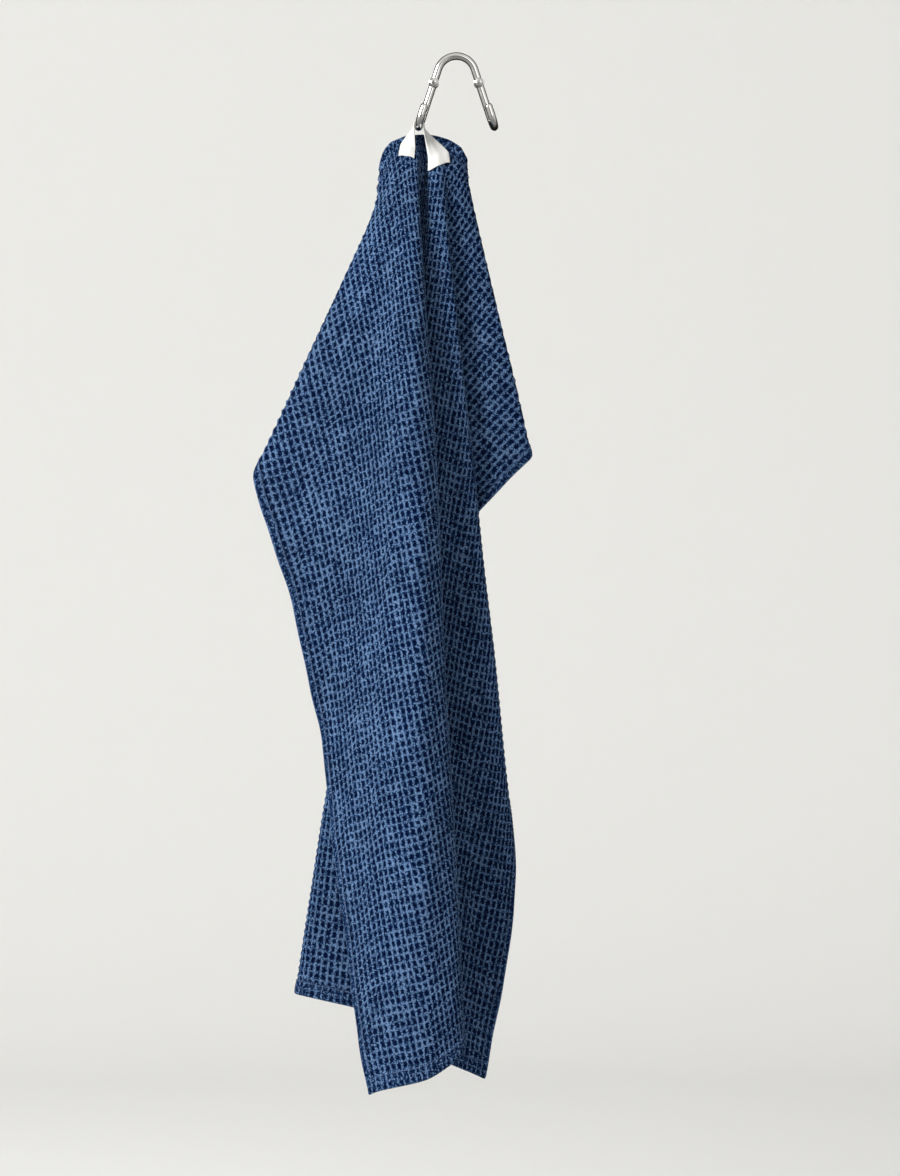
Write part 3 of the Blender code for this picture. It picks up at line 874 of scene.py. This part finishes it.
@dataclass
class Towel:
    """The waffle cloth with its four hems and their stitching."""

    drape: Drape
    cells_across: int = 98
    cells_down: int = 117
    relief: float = 0.80
    saddle: float = 0.12
    jitter: float = 0.06
    neck_relief: float = 0.45
    neck_relief_from: float = 40.0
    neck_relief_run: float = 160.0
    thickness: float = 0.75
    hem_blend: float = 3.0
    seam_share: float = 0.82
    end_hem: float = 12.0
    side_hem: float = 6.5
    end_hem_rise: float = 1.45
    top_hem_rise: float = 0.60
    side_hem_rise: float = 1.15
    stitch_pitch: float = 3.0
    stitch_radius: float = 0.28
    stitch_dip: float = 0.32
    stitch_inset: float = 1.3
    stitch_margin: float = 3.0
    stitch_sides: int = 6

    @property
    def cell(self) -> tuple[float, float]:
        """Give the width and the height of one waffle cell."""
        return self.drape.width / self.cells_across, self.drape.length / self.cells_down

    def build(self) -> tuple[bpy.types.Object, list[bpy.types.Object]]:
        """Build the cloth and everything sewn into it.

        Returns:
            The waffle sheet, and its hems and stitching.
        """
        sheet = self.build_sheet()
        hem_finish = WaffleCotton().make("hem_cotton", pressed=True)
        hems = [self.build_hem(edge, hem_finish) for edge in Edge]
        thread = SewingThread((0.070, 0.130, 0.280), (0.020, 0.045, 0.120)).make("blue_thread")
        stitching = [self.build_stitching(edge, face, thread) for edge in Edge for face in Face]
        return sheet, hems + stitching

    def flatness(self, s: np.ndarray, t: np.ndarray) -> np.ndarray:
        """Tell where the hems press the cells flat.

        Args:
            s: distances from the left edge.
            t: distances from the top edge.

        Returns:
            1 inside the hems and 0 over the open cloth.
        """
        from_side = np.minimum(s, self.drape.width - s) - self.side_hem
        from_end = np.minimum(t, self.drape.length - t) - self.end_hem
        return 1.0 - smooth_step(np.minimum(from_side / self.hem_blend, from_end / self.hem_blend))

    def build_sheet(self) -> bpy.types.Object:
        """Build the waffle sheet: raised ridge crossings and sunk cells, two points to a cell.

        Returns:
            The sheet.
        """
        across, along = 2 * self.cells_across, 2 * self.cells_down
        width, height = self.cell

        def place(columns: np.ndarray, rows: np.ndarray) -> np.ndarray:
            """Place the ridges and the cells, calmer at the neck.

            Args:
                columns: column numbers of the grid.
                rows: row numbers of the grid.

            Returns:
                Points in metres.
            """
            s, t = columns * width / 2.0, rows * height / 2.0
            odd = (columns % 2) + (rows % 2)
            relief = np.choose(odd.astype(int), [1.0, self.saddle, -1.0]) * self.relief
            jitter = np.sin(columns * 12.9898 + rows * 78.233) * self.jitter
            calm = smooth_step((t - self.neck_relief_from) / self.neck_relief_run)
            calm = self.neck_relief + (1.0 - self.neck_relief) * calm
            return self.drape.lay(s, t, (relief + jitter) * calm * (1.0 - self.flatness(s, t)))

        def chart(columns: np.ndarray, rows: np.ndarray) -> np.ndarray:
            """Count the cells across and down."""
            return np.stack([columns / 2.0, rows / 2.0], axis=-1)

        sheet = grid_piece("waffle_cloth", across, along, place, chart, "cells")
        self.turn_outwards(sheet)
        cotton = WaffleCotton()
        sheet.data.materials.append(cotton.make("waffle_face", Face.FRONT))
        sheet.data.materials.append(cotton.make("waffle_reverse", Face.REVERSE))
        thicken(sheet, self.thickness).material_offset = 1
        return register(sheet, "blue_cotton", "towel")

    def turn_outwards(self, sheet: bpy.types.Object) -> None:
        """Make the faces of the sheet look towards its front.

        Args:
            sheet: the sheet, whose middle faces the room.
        """
        centre = len(sheet.data.polygons) // 2 + self.cells_across // 2
        if sheet.data.polygons[centre].normal.y > 0.0:
            sheet.data.flip_normals()

    def hem_place(self, edge: Edge, run: np.ndarray, inward: np.ndarray) -> tuple[np.ndarray, np.ndarray]:
        """Turn places along an edge into flat places.

        Args:
            edge: the edge.
            run: distances along it.
            inward: distances inward from it.

        Returns:
            Distances s from the left edge and t from the top edge.
        """
        if edge is Edge.TOP:
            return run, inward
        if edge is Edge.BOTTOM:
            return run, self.drape.length - inward
        if edge is Edge.LEFT:
            return inward, run
        return self.drape.width - inward, run

    def hem_length(self, edge: Edge) -> float:
        """Give the length of an edge of the flat cloth."""
        return self.drape.width if edge in (Edge.TOP, Edge.BOTTOM) else self.drape.length

    def hem_size(self, edge: Edge) -> tuple[float, float]:
        """Look up the size of a hem.

        Args:
            edge: the edge that the hem wraps.

        Returns:
            Its depth, and its rise above the cloth's middle.
        """
        if edge in (Edge.TOP, Edge.BOTTOM):
            return self.end_hem, self.top_hem_rise if edge is Edge.TOP else self.end_hem_rise
        return self.side_hem, self.side_hem_rise

    def build_hem(self, edge: Edge, finish: bpy.types.Material) -> bpy.types.Object:
        """Build a hem as a rounded band that wraps its edge.

        Args:
            edge: the edge that it wraps.
            finish: the hem's material.

        Returns:
            The hem.
        """
        depth, rise = self.hem_size(edge)
        length = self.hem_length(edge)
        steps = int(length / (self.cell[0] / 4.0))
        front = [
            (depth + 0.2, 0.30), (depth - 0.3, rise * 0.70),
            (depth - self.stitch_inset, rise * self.seam_share),
            (depth * 0.55, rise * 1.04), (2.0, rise), (0.6, rise * 0.86), (-0.15, rise * 0.48),
        ]
        back = [(inward, -height) for inward, height in reversed(front)]
        section = np.array([*front, (-0.4, 0.0), *back, front[0]])

        def place(columns: np.ndarray, rows: np.ndarray) -> np.ndarray:
            """Place the band, ribbed along its run, ragged inside and closed at its ends.

            Args:
                columns: column numbers of the grid.
                rows: row numbers of the grid.

            Returns:
                Points in metres.
            """
            along = columns / steps * length
            inward, height = section[rows.astype(int)].T
            to_end = np.minimum(along, length - along)
            cap = np.sqrt(np.clip(1.0 - (1.0 - np.clip(to_end / 2.0, 0.0, 1.0)) ** 2, 0.0, 1.0))
            ribs = 1.0 + 0.10 * np.cos(along * 4.0 * math.pi / self.cell[0]) + 0.05 * np.sin(along / 3.7)
            middle = depth / 2.0
            inward = middle + (inward - middle) * np.where(to_end < 0.01, 0.0, 1.0)
            ragged = 0.25 * np.sin(along / 7.3 + 1.0) + 0.15 * np.sin(along / 2.9)
            inward = inward + ragged * (inward > middle)
            run = np.clip(along, -0.3, length + 0.3)
            s, t = self.hem_place(edge, run, inward)
            return self.drape.lay(s, t, height * cap * ribs)

        def chart(columns: np.ndarray, rows: np.ndarray) -> np.ndarray:
            """Count the cells on from the sheet."""
            s, t = self.hem_place(edge, columns / steps * length, section[rows.astype(int)][:, 0])
            return np.stack([s / self.cell[0], t / self.cell[1]], axis=-1)

        hem = grid_piece(edge.value, steps, len(section) - 1, place, chart, "cells", weld=0.02)
        hem.data.materials.append(finish)
        return register(hem, "blue_cotton")

    def build_stitching(self, edge: Edge, face: Face, finish: bpy.types.Material) -> bpy.types.Object:
        """Build the row of stitches along a hem on one face of the cloth.

        Args:
            edge: the edge whose hem is stitched.
            face: the face that the row shows on.
            finish: the thread's material.

        Returns:
            The row of stitches, one thread that dips into the cloth at each needle hole.
        """
        depth, rise = self.hem_size(edge)
        length = self.hem_length(edge) - 2.0 * self.stitch_margin
        steps = int(length / self.stitch_pitch) * 4

        def place(columns: np.ndarray, rows: np.ndarray) -> np.ndarray:
            """Place the thread, which rises and dips once for each stitch.

            Args:
                columns: column numbers of the grid.
                rows: row numbers of the grid.

            Returns:
                Points in metres.
            """
            along = self.stitch_margin + columns / steps * length
            turn = rows / self.stitch_sides * 2.0 * math.pi
            end = (columns < 0.5) | (columns > steps - 0.5)
            radius = np.where(end, 0.0, self.stitch_radius)
            dip = np.cos(columns / 4.0 * 2.0 * math.pi) * self.stitch_dip
            s, t = self.hem_place(edge, along, depth - self.stitch_inset + radius * np.cos(turn))
            height = face.value * (rise * self.seam_share + 0.05 - dip)
            return self.drape.lay(s, t, height + radius * np.sin(turn))

        def chart(columns: np.ndarray, rows: np.ndarray) -> np.ndarray:
            """Count the stitches along the thread, and its turns round it."""
            return np.stack([columns / 4.0, rows / self.stitch_sides], axis=-1)

        name = f"{edge.value}_stitches_{face.name.lower()}"
        row = grid_piece(name, steps, self.stitch_sides, place, chart, "thread", weld=0.01)
        row.data.materials.append(finish)
        return register(row, "blue_cotton")


@dataclass
class HookShape:
    """Driving sizes of the bent rod and its two J ends."""

    rod_radius: float = 3.0
    rod_out: float = 6.0
    arch_top: float = 21.0
    lean: float = math.radians(18.1)
    boss_half_span: float = 17.7
    j_radius: float = 9.5
    j_bottom: float = -35.5
    j_rise: float = 6.0
    splay: float = math.radians(2.5)

    def leg_frame(self, hand: Hand) -> tuple[Vector, Vector, Vector]:
        """Find the directions of a leg in the room.

        Args:
            hand: the side of the leg.

        Returns:
            Up along it, sideways across it, and out along its J.
        """
        side = hand.value
        up = Vector((-side * math.sin(self.lean), 0.0, math.cos(self.lean)))
        out = Vector((side * math.sin(self.splay), -math.cos(self.splay), 0.0))
        out = (out - up * out.dot(up)).normalized()
        return up, up.cross(out) * -1.0, out

    def foot(self, hand: Hand) -> Vector:
        """Find where a straight leg ends and its J begins.

        Args:
            hand: the side of the leg.

        Returns:
            The point, in room millimetres.
        """
        drop = -self.j_bottom - self.j_radius * math.cos(self.lean)
        aside = self.boss_half_span + drop * math.tan(self.lean)
        return Vector((hand.value * aside, -self.rod_out, -drop))

    def arch(self) -> tuple[Vector, float, float]:
        """Give the centre, the radius and the half angle of the arch."""
        centre = (self.arch_top - self.boss_half_span * math.cos(self.lean)) / (1.0 - math.sin(self.lean))
        return Vector((0.0, -self.rod_out, centre)), self.arch_top - centre, math.pi / 2.0 - self.lean


def ring_points(ring: list) -> list:
    """List the points of a ring of edges, each once and in order."""
    return list(dict.fromkeys(vert for edge in ring for vert in edge.verts))


def middle_of(verts: list) -> Vector:
    """Find the middle of some points."""
    return sum((vert.co for vert in verts), Vector()) / len(verts)


@dataclass
class WallHook:
    """The plated hook: one bent rod on two bosses, with its screws."""

    shape: HookShape
    ring_steps: int = 40
    arch_steps: int = 40
    leg_steps: int = 12
    bend_steps: int = 28
    rise_steps: int = 3
    dome_steps: int = 8
    boss_radius: float = 4.0
    boss_front: float = 9.2
    boss_bevel: float = 0.4
    seat_gap: float = 0.3

    def build(self) -> bpy.types.Object:
        """Build the rod, the bosses and the screws.

        Returns:
            The rod.
        """
        nickel = PolishedNickel().make("polished_nickel")
        rod = self.build_rod(nickel)
        self.build_bosses(nickel)
        seat_out = self.boss_front + self.seat_gap
        for hand, node in ((Hand.LEFT, "left_screw"), (Hand.RIGHT, "right_screw")):
            Screw(seat_out, hand.value * self.shape.boss_half_span).build(node, nickel)
        return rod

    def build_rod(self, nickel: bpy.types.Material) -> bpy.types.Object:
        """Bend the rod: an arch, then a straight leg, a J and a domed tip on each side.

        Args:
            nickel: its material.

        Returns:
            The rod.
        """
        rod = bmesh.new()
        centre, radius, half = self.shape.arch()
        start = centre + Vector((-math.sin(half), 0.0, math.cos(half))) * radius
        heading = self.shape.leg_frame(Hand.LEFT)[0]
        turned = heading.to_track_quat("Z", "Y").to_matrix().to_4x4()
        bmesh.ops.create_circle(
            rod, segments=self.ring_steps, radius=self.shape.rod_radius,
            matrix=Matrix.Translation(start) @ turned,
        )
        first = list(rod.edges)
        last = self.spin(rod, first, centre, Vector((0.0, 1.0, 0.0)), 2.0 * half, self.arch_steps)
        self.run_leg(rod, first, Hand.LEFT)
        self.run_leg(rod, last, Hand.RIGHT)
        bmesh.ops.remove_doubles(rod, verts=rod.verts, dist=0.001)
        bmesh.ops.recalc_face_normals(rod, faces=rod.faces)
        bmesh.ops.scale(rod, verts=rod.verts, vec=(MM, MM, MM))
        piece = new_object("hook_rod", rod)
        piece.data.materials.append(nickel)
        return register(piece, "hook_nickel", "hook")

    def spin(
        self, rod: bmesh.types.BMesh, ring: list, centre: Vector, axis: Vector, angle: float, steps: int
    ) -> list:
        """Spin a ring of edges round an axis.

        Args:
            rod: the bmesh of the rod.
            ring: the edges that are spun.
            centre: a point of the axis.
            axis: its direction.
            angle: how far they are spun, in radians.
            steps: the number of steps.

        Returns:
            The edges of the ring at the end.
        """
        made = bmesh.ops.spin(
            rod, geom=ring_points(ring) + ring, cent=centre, axis=axis, dvec=(0.0, 0.0, 0.0),
            angle=angle, steps=steps, use_merge=False, use_normal_flip=False, use_duplicate=False,
        )
        return [item for item in made["geom_last"] if isinstance(item, bmesh.types.BMEdge)]

    def push(self, rod: bmesh.types.BMesh, ring: list, move: Vector, size: float = 1.0) -> list:
        """Extrude a ring of edges, move the new ring and scale it about its centre.

        Args:
            rod: the bmesh of the rod.
            ring: the edges that are extruded.
            move: the step to the new ring.
            size: its size beside the old one.

        Returns:
            The edges of the new ring.
        """
        made = bmesh.ops.extrude_edge_only(rod, edges=ring)
        verts = [item for item in made["geom"] if isinstance(item, bmesh.types.BMVert)]
        edges = [item for item in made["geom"] if isinstance(item, bmesh.types.BMEdge)]
        bmesh.ops.translate(rod, verts=verts, vec=move)
        about = Matrix.Translation(-middle_of(verts))
        bmesh.ops.scale(rod, verts=verts, vec=(size, size, size), space=about)
        return edges

    def run_leg(self, rod: bmesh.types.BMesh, ring: list, hand: Hand) -> None:
        """Run one leg from the arch down to its foot, round its J and up to its tip.

        Args:
            rod: the bmesh of the rod.
            ring: the edges at the end of the arch.
            hand: the side of the leg.
        """
        up, across, out = self.shape.leg_frame(hand)
        drop = self.shape.foot(hand) - middle_of(ring_points(ring))
        for _ in range(self.leg_steps):
            ring = self.push(rod, ring, drop / self.leg_steps)
        centre = self.shape.foot(hand) + out * self.shape.j_radius
        ring = self.spin(rod, ring, centre, out.cross(up), math.pi, self.bend_steps)
        for _ in range(self.rise_steps):
            ring = self.push(rod, ring, up * (self.shape.j_rise / self.rise_steps))
        for step in range(1, self.dome_steps + 1):
            turn, before = (math.pi / 2.0 * count / self.dome_steps for count in (step, step - 1))
            rise = (math.sin(turn) - math.sin(before)) * self.shape.rod_radius
            size = max(math.cos(turn), 0.02) / max(math.cos(before), 0.02)
            ring = self.push(rod, ring, up * rise, size)
        verts = ring_points(ring)
        bmesh.ops.pointmerge(rod, verts=verts, merge_co=middle_of(verts))

    def build_bosses(self, nickel: bpy.types.Material) -> None:
        """Build the round stand-offs between the rod and the wall.

        Args:
            nickel: their material.
        """
        bosses = bmesh.new()
        for hand in Hand:
            middle = Vector((hand.value * self.shape.boss_half_span, -self.boss_front / 2.0, 0.0))
            place = Matrix.Translation(middle) @ Matrix.Rotation(math.pi / 2.0, 4, "X")
            made = bmesh.ops.create_cone(
                bosses, cap_ends=True, segments=48, radius1=self.boss_radius,
                radius2=self.boss_radius, depth=self.boss_front, matrix=place,
            )
            rims = [
                edge for edge in bosses.edges
                if edge.verts[0] in made["verts"] and edge.is_manifold and edge.calc_face_angle(0.0) > 1.0
            ]
            bmesh.ops.bevel(
                bosses, geom=rims, offset=self.boss_bevel, segments=3, profile=0.5, affect="EDGES",
                material=-1,
            )
        bmesh.ops.scale(bosses, verts=bosses.verts, vec=(MM, MM, MM))
        piece = new_object("hook_bosses", bosses)
        piece.data.set_sharp_from_angle(angle=math.radians(40.0))
        piece.data.materials.append(nickel)
        register(piece, "hook_nickel")


@dataclass
class Screw:
    """A round-headed screw with a cross recess, its head's seat at a distance from the wall."""

    seat_out: float
    x: float
    head_radius: float = 3.4
    head_height: float = 2.3
    shank_radius: float = 1.5
    in_wall: float = 22.0
    point: float = 4.0
    recess_arm: float = 3.4
    recess_slot: float = 0.85
    recess_depth: float = 1.3

    def profile(self) -> list[tuple[float, float]]:
        """Draw the outline of the screw.

        Returns:
            Its radius and its distance from the wall, from the crown to the point.
        """
        dome = [
            (math.sin(turn) * self.head_radius,
             self.seat_out + self.head_height * (0.22 + 0.78 * math.cos(turn)))
            for turn in np.linspace(0.0, math.pi / 2.0, 10)
        ]
        tail = [
            (self.head_radius - 0.25, self.seat_out), (self.shank_radius, self.seat_out),
            (self.shank_radius, -self.in_wall + self.point), (0.0, -self.in_wall),
        ]
        return dome + tail

    def build(self, node: str, nickel: bpy.types.Material) -> bpy.types.Object:
        """Turn the screw and cut its recess.

        Args:
            node: the solid that it stands for.
            nickel: its material.

        Returns:
            The screw.
        """
        outline = [(self.x + radius, -out, 0.0) for radius, out in self.profile()]
        turned = lathe(outline, (self.x, 0.0, 0.0), (0.0, 1.0, 0.0), 48, 0.001)
        bmesh.ops.recalc_face_normals(turned, faces=turned.faces)
        bmesh.ops.scale(turned, verts=turned.verts, vec=(MM, MM, MM))
        blank = new_object(node + "_blank", turned)
        for size in ((self.recess_arm, self.recess_slot), (self.recess_slot, self.recess_arm)):
            self.cut(blank, size)
        evaluated = blank.evaluated_get(bpy.context.evaluated_depsgraph_get())
        mesh = bpy.data.meshes.new_from_object(evaluated)
        mesh.name = "round_" + node
        piece = add_object("round_" + node, mesh)
        for thing in [blank, *(step.object for step in blank.modifiers)]:
            bpy.data.objects.remove(thing, do_unlink=True)
        mesh.shade_smooth()
        mesh.set_sharp_from_angle(angle=math.radians(35.0))
        mesh.materials.clear()
        mesh.materials.append(nickel)
        return register(piece, "screw_nickel", node)

    def cut(self, blank: bpy.types.Object, size: tuple[float, float]) -> None:
        """Cut one arm of the recess into the head.

        Args:
            blank: the screw before it is cut.
            size: the arm's size sideways and upwards.
        """
        slot = bmesh.new()
        place = Vector((self.x, -self.seat_out - self.head_height, 0.0))
        bmesh.ops.create_cube(slot, size=1.0)
        bmesh.ops.scale(slot, verts=slot.verts, vec=(size[0], 2.0 * self.recess_depth, size[1]))
        bmesh.ops.translate(slot, verts=slot.verts, vec=place)
        bmesh.ops.scale(slot, verts=slot.verts, vec=(MM, MM, MM))
        cutter = new_object("recess_cutter", slot)
        step = blank.modifiers.new("Recess", "BOOLEAN")
        step.operation = "DIFFERENCE"
        step.object = cutter


class Seam(NamedTuple):
    """One sewn end of the tape: its two corners, by spoke angle and distance from the top edge."""

    hand: Hand
    outer_angle: float
    outer_drop: float
    inner_angle: float
    inner_drop: float


@dataclass
class TapeLoop:
    """The tape that carries the towel, bent over the left J and sewn to the front of the cloth."""

    drape: Drape
    shape: HookShape
    width: float = 16.5
    thickness: float = 0.7
    selvedge: float = 0.18
    over_rod: float = 0.4
    over_cloth: float = 1.15
    spread: float = math.radians(42.0)
    lap: float = 8.8
    pull: float = 0.4
    strands: int = 14
    leg_rows: int = 40
    crown_rows: int = 20
    lap_rows: int = 8
    seams: tuple[Seam, Seam] = (
        Seam(Hand.LEFT, -33.5, 16.5, -14.0, 23.0),
        Seam(Hand.RIGHT, 36.0, 23.5, 10.0, 28.5),
    )

    def crown(self, turn: float) -> np.ndarray:
        """Place one row of the tape over the J.

        Args:
            turn: angle round the rod in radians, 0 on top of it.

        Returns:
            A row of points, in room millimetres.
        """
        up, across, out = (np.array(axis) for axis in self.shape.leg_frame(Hand.LEFT))
        across = across * np.sign(across[0])
        centre = np.array(self.shape.foot(Hand.LEFT)) + out * self.shape.j_radius
        radius = self.shape.rod_radius + self.over_rod + self.thickness / 2.0
        spread = np.linspace(-self.spread, self.spread, self.strands + 1)[:, None]
        from_centre = np.sin(spread) * out - np.cos(spread) * up
        inward = self.shape.j_radius - radius * math.cos(turn)
        return centre + from_centre * inward + across * radius * math.sin(turn)

    def on_cloth(self, seam: Seam, lift: float) -> np.ndarray:
        """Place one row of the tape's end on the cloth.

        Args:
            seam: the end that is laid.
            lift: how far the row lies above the end's lower edge, in millimetres.

        Returns:
            A row of points, in room millimetres.
        """
        angles = np.linspace(seam.outer_angle, seam.inner_angle, self.strands + 1)
        drop = np.linspace(seam.outer_drop, seam.inner_drop, self.strands + 1) - lift
        here = to_world(self.drape.down_spoke(angles, drop))
        along = to_world(self.drape.down_spoke(angles, drop + 0.8)) - here
        aside = to_world(self.drape.down_spoke(angles + 1.0, drop)) - here
        normal = np.cross(along, aside)
        normal /= np.linalg.norm(normal, axis=-1, keepdims=True)
        normal *= -np.sign(normal[:, 1:2])
        return here / MM + normal * (self.over_cloth + self.thickness / 2.0)

    def leg(self, seam: Seam) -> list[np.ndarray]:
        """Place the rows of one leg, from its sewn end up to the rod's side.

        Args:
            seam: the leg's sewn end.

        Returns:
            Rows of points, in room millimetres.
        """
        lap = [self.on_cloth(seam, self.lap * row / self.lap_rows) for row in range(self.lap_rows + 1)]
        upper, before = lap[-1], lap[-2]
        top = self.crown(seam.hand.value * math.pi / 2.0)
        pull = self.pull * np.linalg.norm(top.mean(axis=0) - upper.mean(axis=0))
        start = (upper - before) / np.linalg.norm(upper - before, axis=-1, keepdims=True) * pull
        finish = np.array(self.shape.leg_frame(Hand.LEFT)[0]) * pull
        return lap + [
            upper * (1 + 2 * t) * (1 - t) ** 2 + start * t * (1 - t) ** 2
            + top * t ** 2 * (3 - 2 * t) - finish * t ** 2 * (1 - t)
            for t in np.linspace(0.0, 1.0, self.leg_rows + 1)[1:]
        ]

    def rows(self) -> np.ndarray:
        """Join the rows of the tape, from its left end over the rod to its right end.

        Returns:
            The grid of points, in room millimetres.
        """
        left, right = (self.leg(seam) for seam in self.seams)
        turns = np.linspace(-math.pi / 2.0, math.pi / 2.0, self.crown_rows + 1)[1:-1]
        return np.array(left + [self.crown(turn) for turn in turns] + right[::-1])

    def build(self, rod: bpy.types.Object) -> bpy.types.Object:
        """Build the tape.

        Args:
            rod: the rod that it hangs on; it is not used.

        Returns:
            The tape.
        """
        rows = self.rows()
        middle = rows[:, self.strands // 2]
        run = np.concatenate([[0.0], np.cumsum(np.linalg.norm(np.diff(middle, axis=0), axis=1))])
        last = len(rows) - 1

        def place(columns: np.ndarray, counts: np.ndarray) -> np.ndarray:
            """Look the points up in the rows."""
            return rows[counts.astype(int), columns.astype(int)] * MM

        def chart(columns: np.ndarray, counts: np.ndarray) -> np.ndarray:
            """Measure across and along the tape in millimetres."""
            return np.stack([columns / self.strands * self.width, run[counts.astype(int)]], axis=-1)

        tape = grid_piece("hanging_tape", self.strands, last, place, chart, "tape")
        thicken(tape, self.thickness)
        rounding = tape.modifiers.new("Selvedge", "BEVEL")
        rounding.width = self.selvedge * MM
        rounding.segments = 2
        rounding.limit_method = "ANGLE"
        tape.data.materials.append(CottonTape().make("cotton_tape"))
        register(tape, "white_tape", "tape_loop")
        log.info("tape: %.1f mm long", run[-1])
        return tape


@dataclass
class Studio:
    """A plain pale studio: a round floor that curves up into the backdrop, soft lights and the camera."""

    floor_z: float = -1.30
    radius: float = 6.5
    height: float = 5.0
    cove: float = 1.6
    camera_out: float = 3.6
    look: Spot = (-0.005, -0.025, -0.395)
    frame_height: float = 0.915
    sky_strength: float = 0.66
    sky_ramp: tuple[tuple[float, float], ...] = (
        (0.0, 0.30), (0.02, 0.35), (0.05, 1.0), (0.44, 1.05), (0.58, 0.40), (0.70, 0.05), (1.0, 0.03),
    )
    sky_rise: tuple[float, float, float, float] = (-0.7, 0.25, 0.35, 1.0)

    def build(self) -> None:
        """Build the stage, the lights and the camera."""
        self.build_bowl()
        self.build_lights()
        self.build_camera()

    def build_bowl(self) -> None:
        """Spin the floor, the cove and the backdrop as one surface."""
        turns = np.linspace(0.0, math.pi / 2.0, 13)
        curve = [(self.radius - self.cove + self.cove * math.sin(turn), self.cove * (1.0 - math.cos(turn)))
                 for turn in turns]
        section = [(0.0, 0.0), (self.radius / 2.0, 0.0), *curve, (self.radius, self.height)]
        outline = [(across, 0.0, self.floor_z + rise) for across, rise in section]
        bowl = lathe(outline, (0.0, 0.0, 0.0), (0.0, 0.0, 1.0), 96, 0.0001)
        stage = new_object("studio_floor", bowl)
        stage.data.materials.append(StudioPaint().make("studio_paint"))
        stage.visible_glossy = False

    def add_light(self, name: str, place: Spot, aim: Spot, size: float, power: float, tint: Colour) -> None:
        """Hang a soft square light.

        Args:
            name: the light's name.
            place: where it hangs.
            aim: where it is aimed.
            size: its width and height.
            power: its power in watts.
            tint: its colour.
        """
        lamp = bpy.data.lights.new(name, "AREA")
        lamp.size = size
        lamp.energy = power
        lamp.color = tint
        holder = add_object(name, lamp)
        holder.location = place
        holder.rotation_euler = (Vector(aim) - Vector(place)).to_track_quat("-Z", "Y").to_euler()
        holder.visible_camera = False

    def build_lights(self) -> None:
        """Light from the upper left, with weak fills and a pale sky."""
        self.add_light("key_light", (-3.3, -2.0, 1.2), self.look, 1.8, 235.0, (1.0, 0.99, 0.97))
        self.add_light("front_fill", (1.2, -3.4, 0.6), self.look, 2.2, 14.0, (0.97, 0.98, 1.0))
        self.add_light("backdrop_light", (-1.0, 2.2, 1.4), (-0.6, 6.5, 0.0), 2.5, 58.0, (1.0, 1.0, 1.0))
        self.build_sky()

    def build_sky(self) -> None:
        """Make a pale sky, darker behind the viewer and behind the hook, which the plating mirrors."""
        world = bpy.data.worlds.new("studio_sky")
        world.use_nodes = True
        tree = world.node_tree
        backdrop = tree.nodes["Background"]
        where, split, turn, ramp, rise, both = (
            tree.nodes.new("ShaderNode" + kind)
            for kind in ("TexCoord", "SeparateXYZ", "Math", "ValToRGB", "MapRange", "VectorMath")
        )
        turn.operation, both.operation = "MULTIPLY_ADD", "SCALE"
        turn.inputs[1].default_value = turn.inputs[2].default_value = 0.5
        for number, value in enumerate(self.sky_rise, 1):
            rise.inputs[number].default_value = value
        for output, socket in (
            (where.outputs["Generated"], split.inputs[0]),
            (split.outputs[1], turn.inputs[0]),
            (turn.outputs[0], ramp.inputs[0]),
            (split.outputs[2], rise.inputs[0]),
            (ramp.outputs[0], both.inputs[0]),
            (rise.outputs[0], both.inputs["Scale"]),
            (both.outputs[0], backdrop.inputs[0]),
        ):
            tree.links.new(output, socket)
        stops = ramp.color_ramp.elements
        stops[0].position, stops[1].position = self.sky_ramp[0][0], self.sky_ramp[-1][0]
        for place, _ in self.sky_ramp[1:-1]:
            stops.new(place)
        for stop, (_, light) in zip(stops, self.sky_ramp):
            stop.color = (light, light * 0.99, light * 0.97, 1.0)
        backdrop.inputs[1].default_value = self.sky_strength
        bpy.context.scene.world = world
        bpy.context.scene.view_settings.view_transform = "Standard"

    def build_camera(self) -> None:
        """Set the camera level in front of the towel, as the photograph was taken."""
        camera = bpy.data.cameras.new("camera")
        camera.sensor_width = 36.0
        camera.lens = camera.sensor_width * self.camera_out / self.frame_height
        camera.clip_end = 50.0
        holder = add_object("camera", camera)
        holder.location = Vector(self.look) + Vector((0.0, -self.camera_out, 0.0))
        holder.rotation_euler = (math.pi / 2.0, 0.0, 0.0)
        bpy.context.scene.camera = holder


def main() -> None:
    """Build the studio, the hook, the towel and its loop, and report each piece."""
    logging.basicConfig(level=logging.INFO, format="%(name)s: %(message)s")
    Studio().build()
    drape, shape = Drape(), HookShape()
    rod = WallHook(shape).build()
    sheet, sewn = Towel(drape).build()
    tape = TapeLoop(drape, shape).build(rod)


if __name__ == "__main__":
    main()
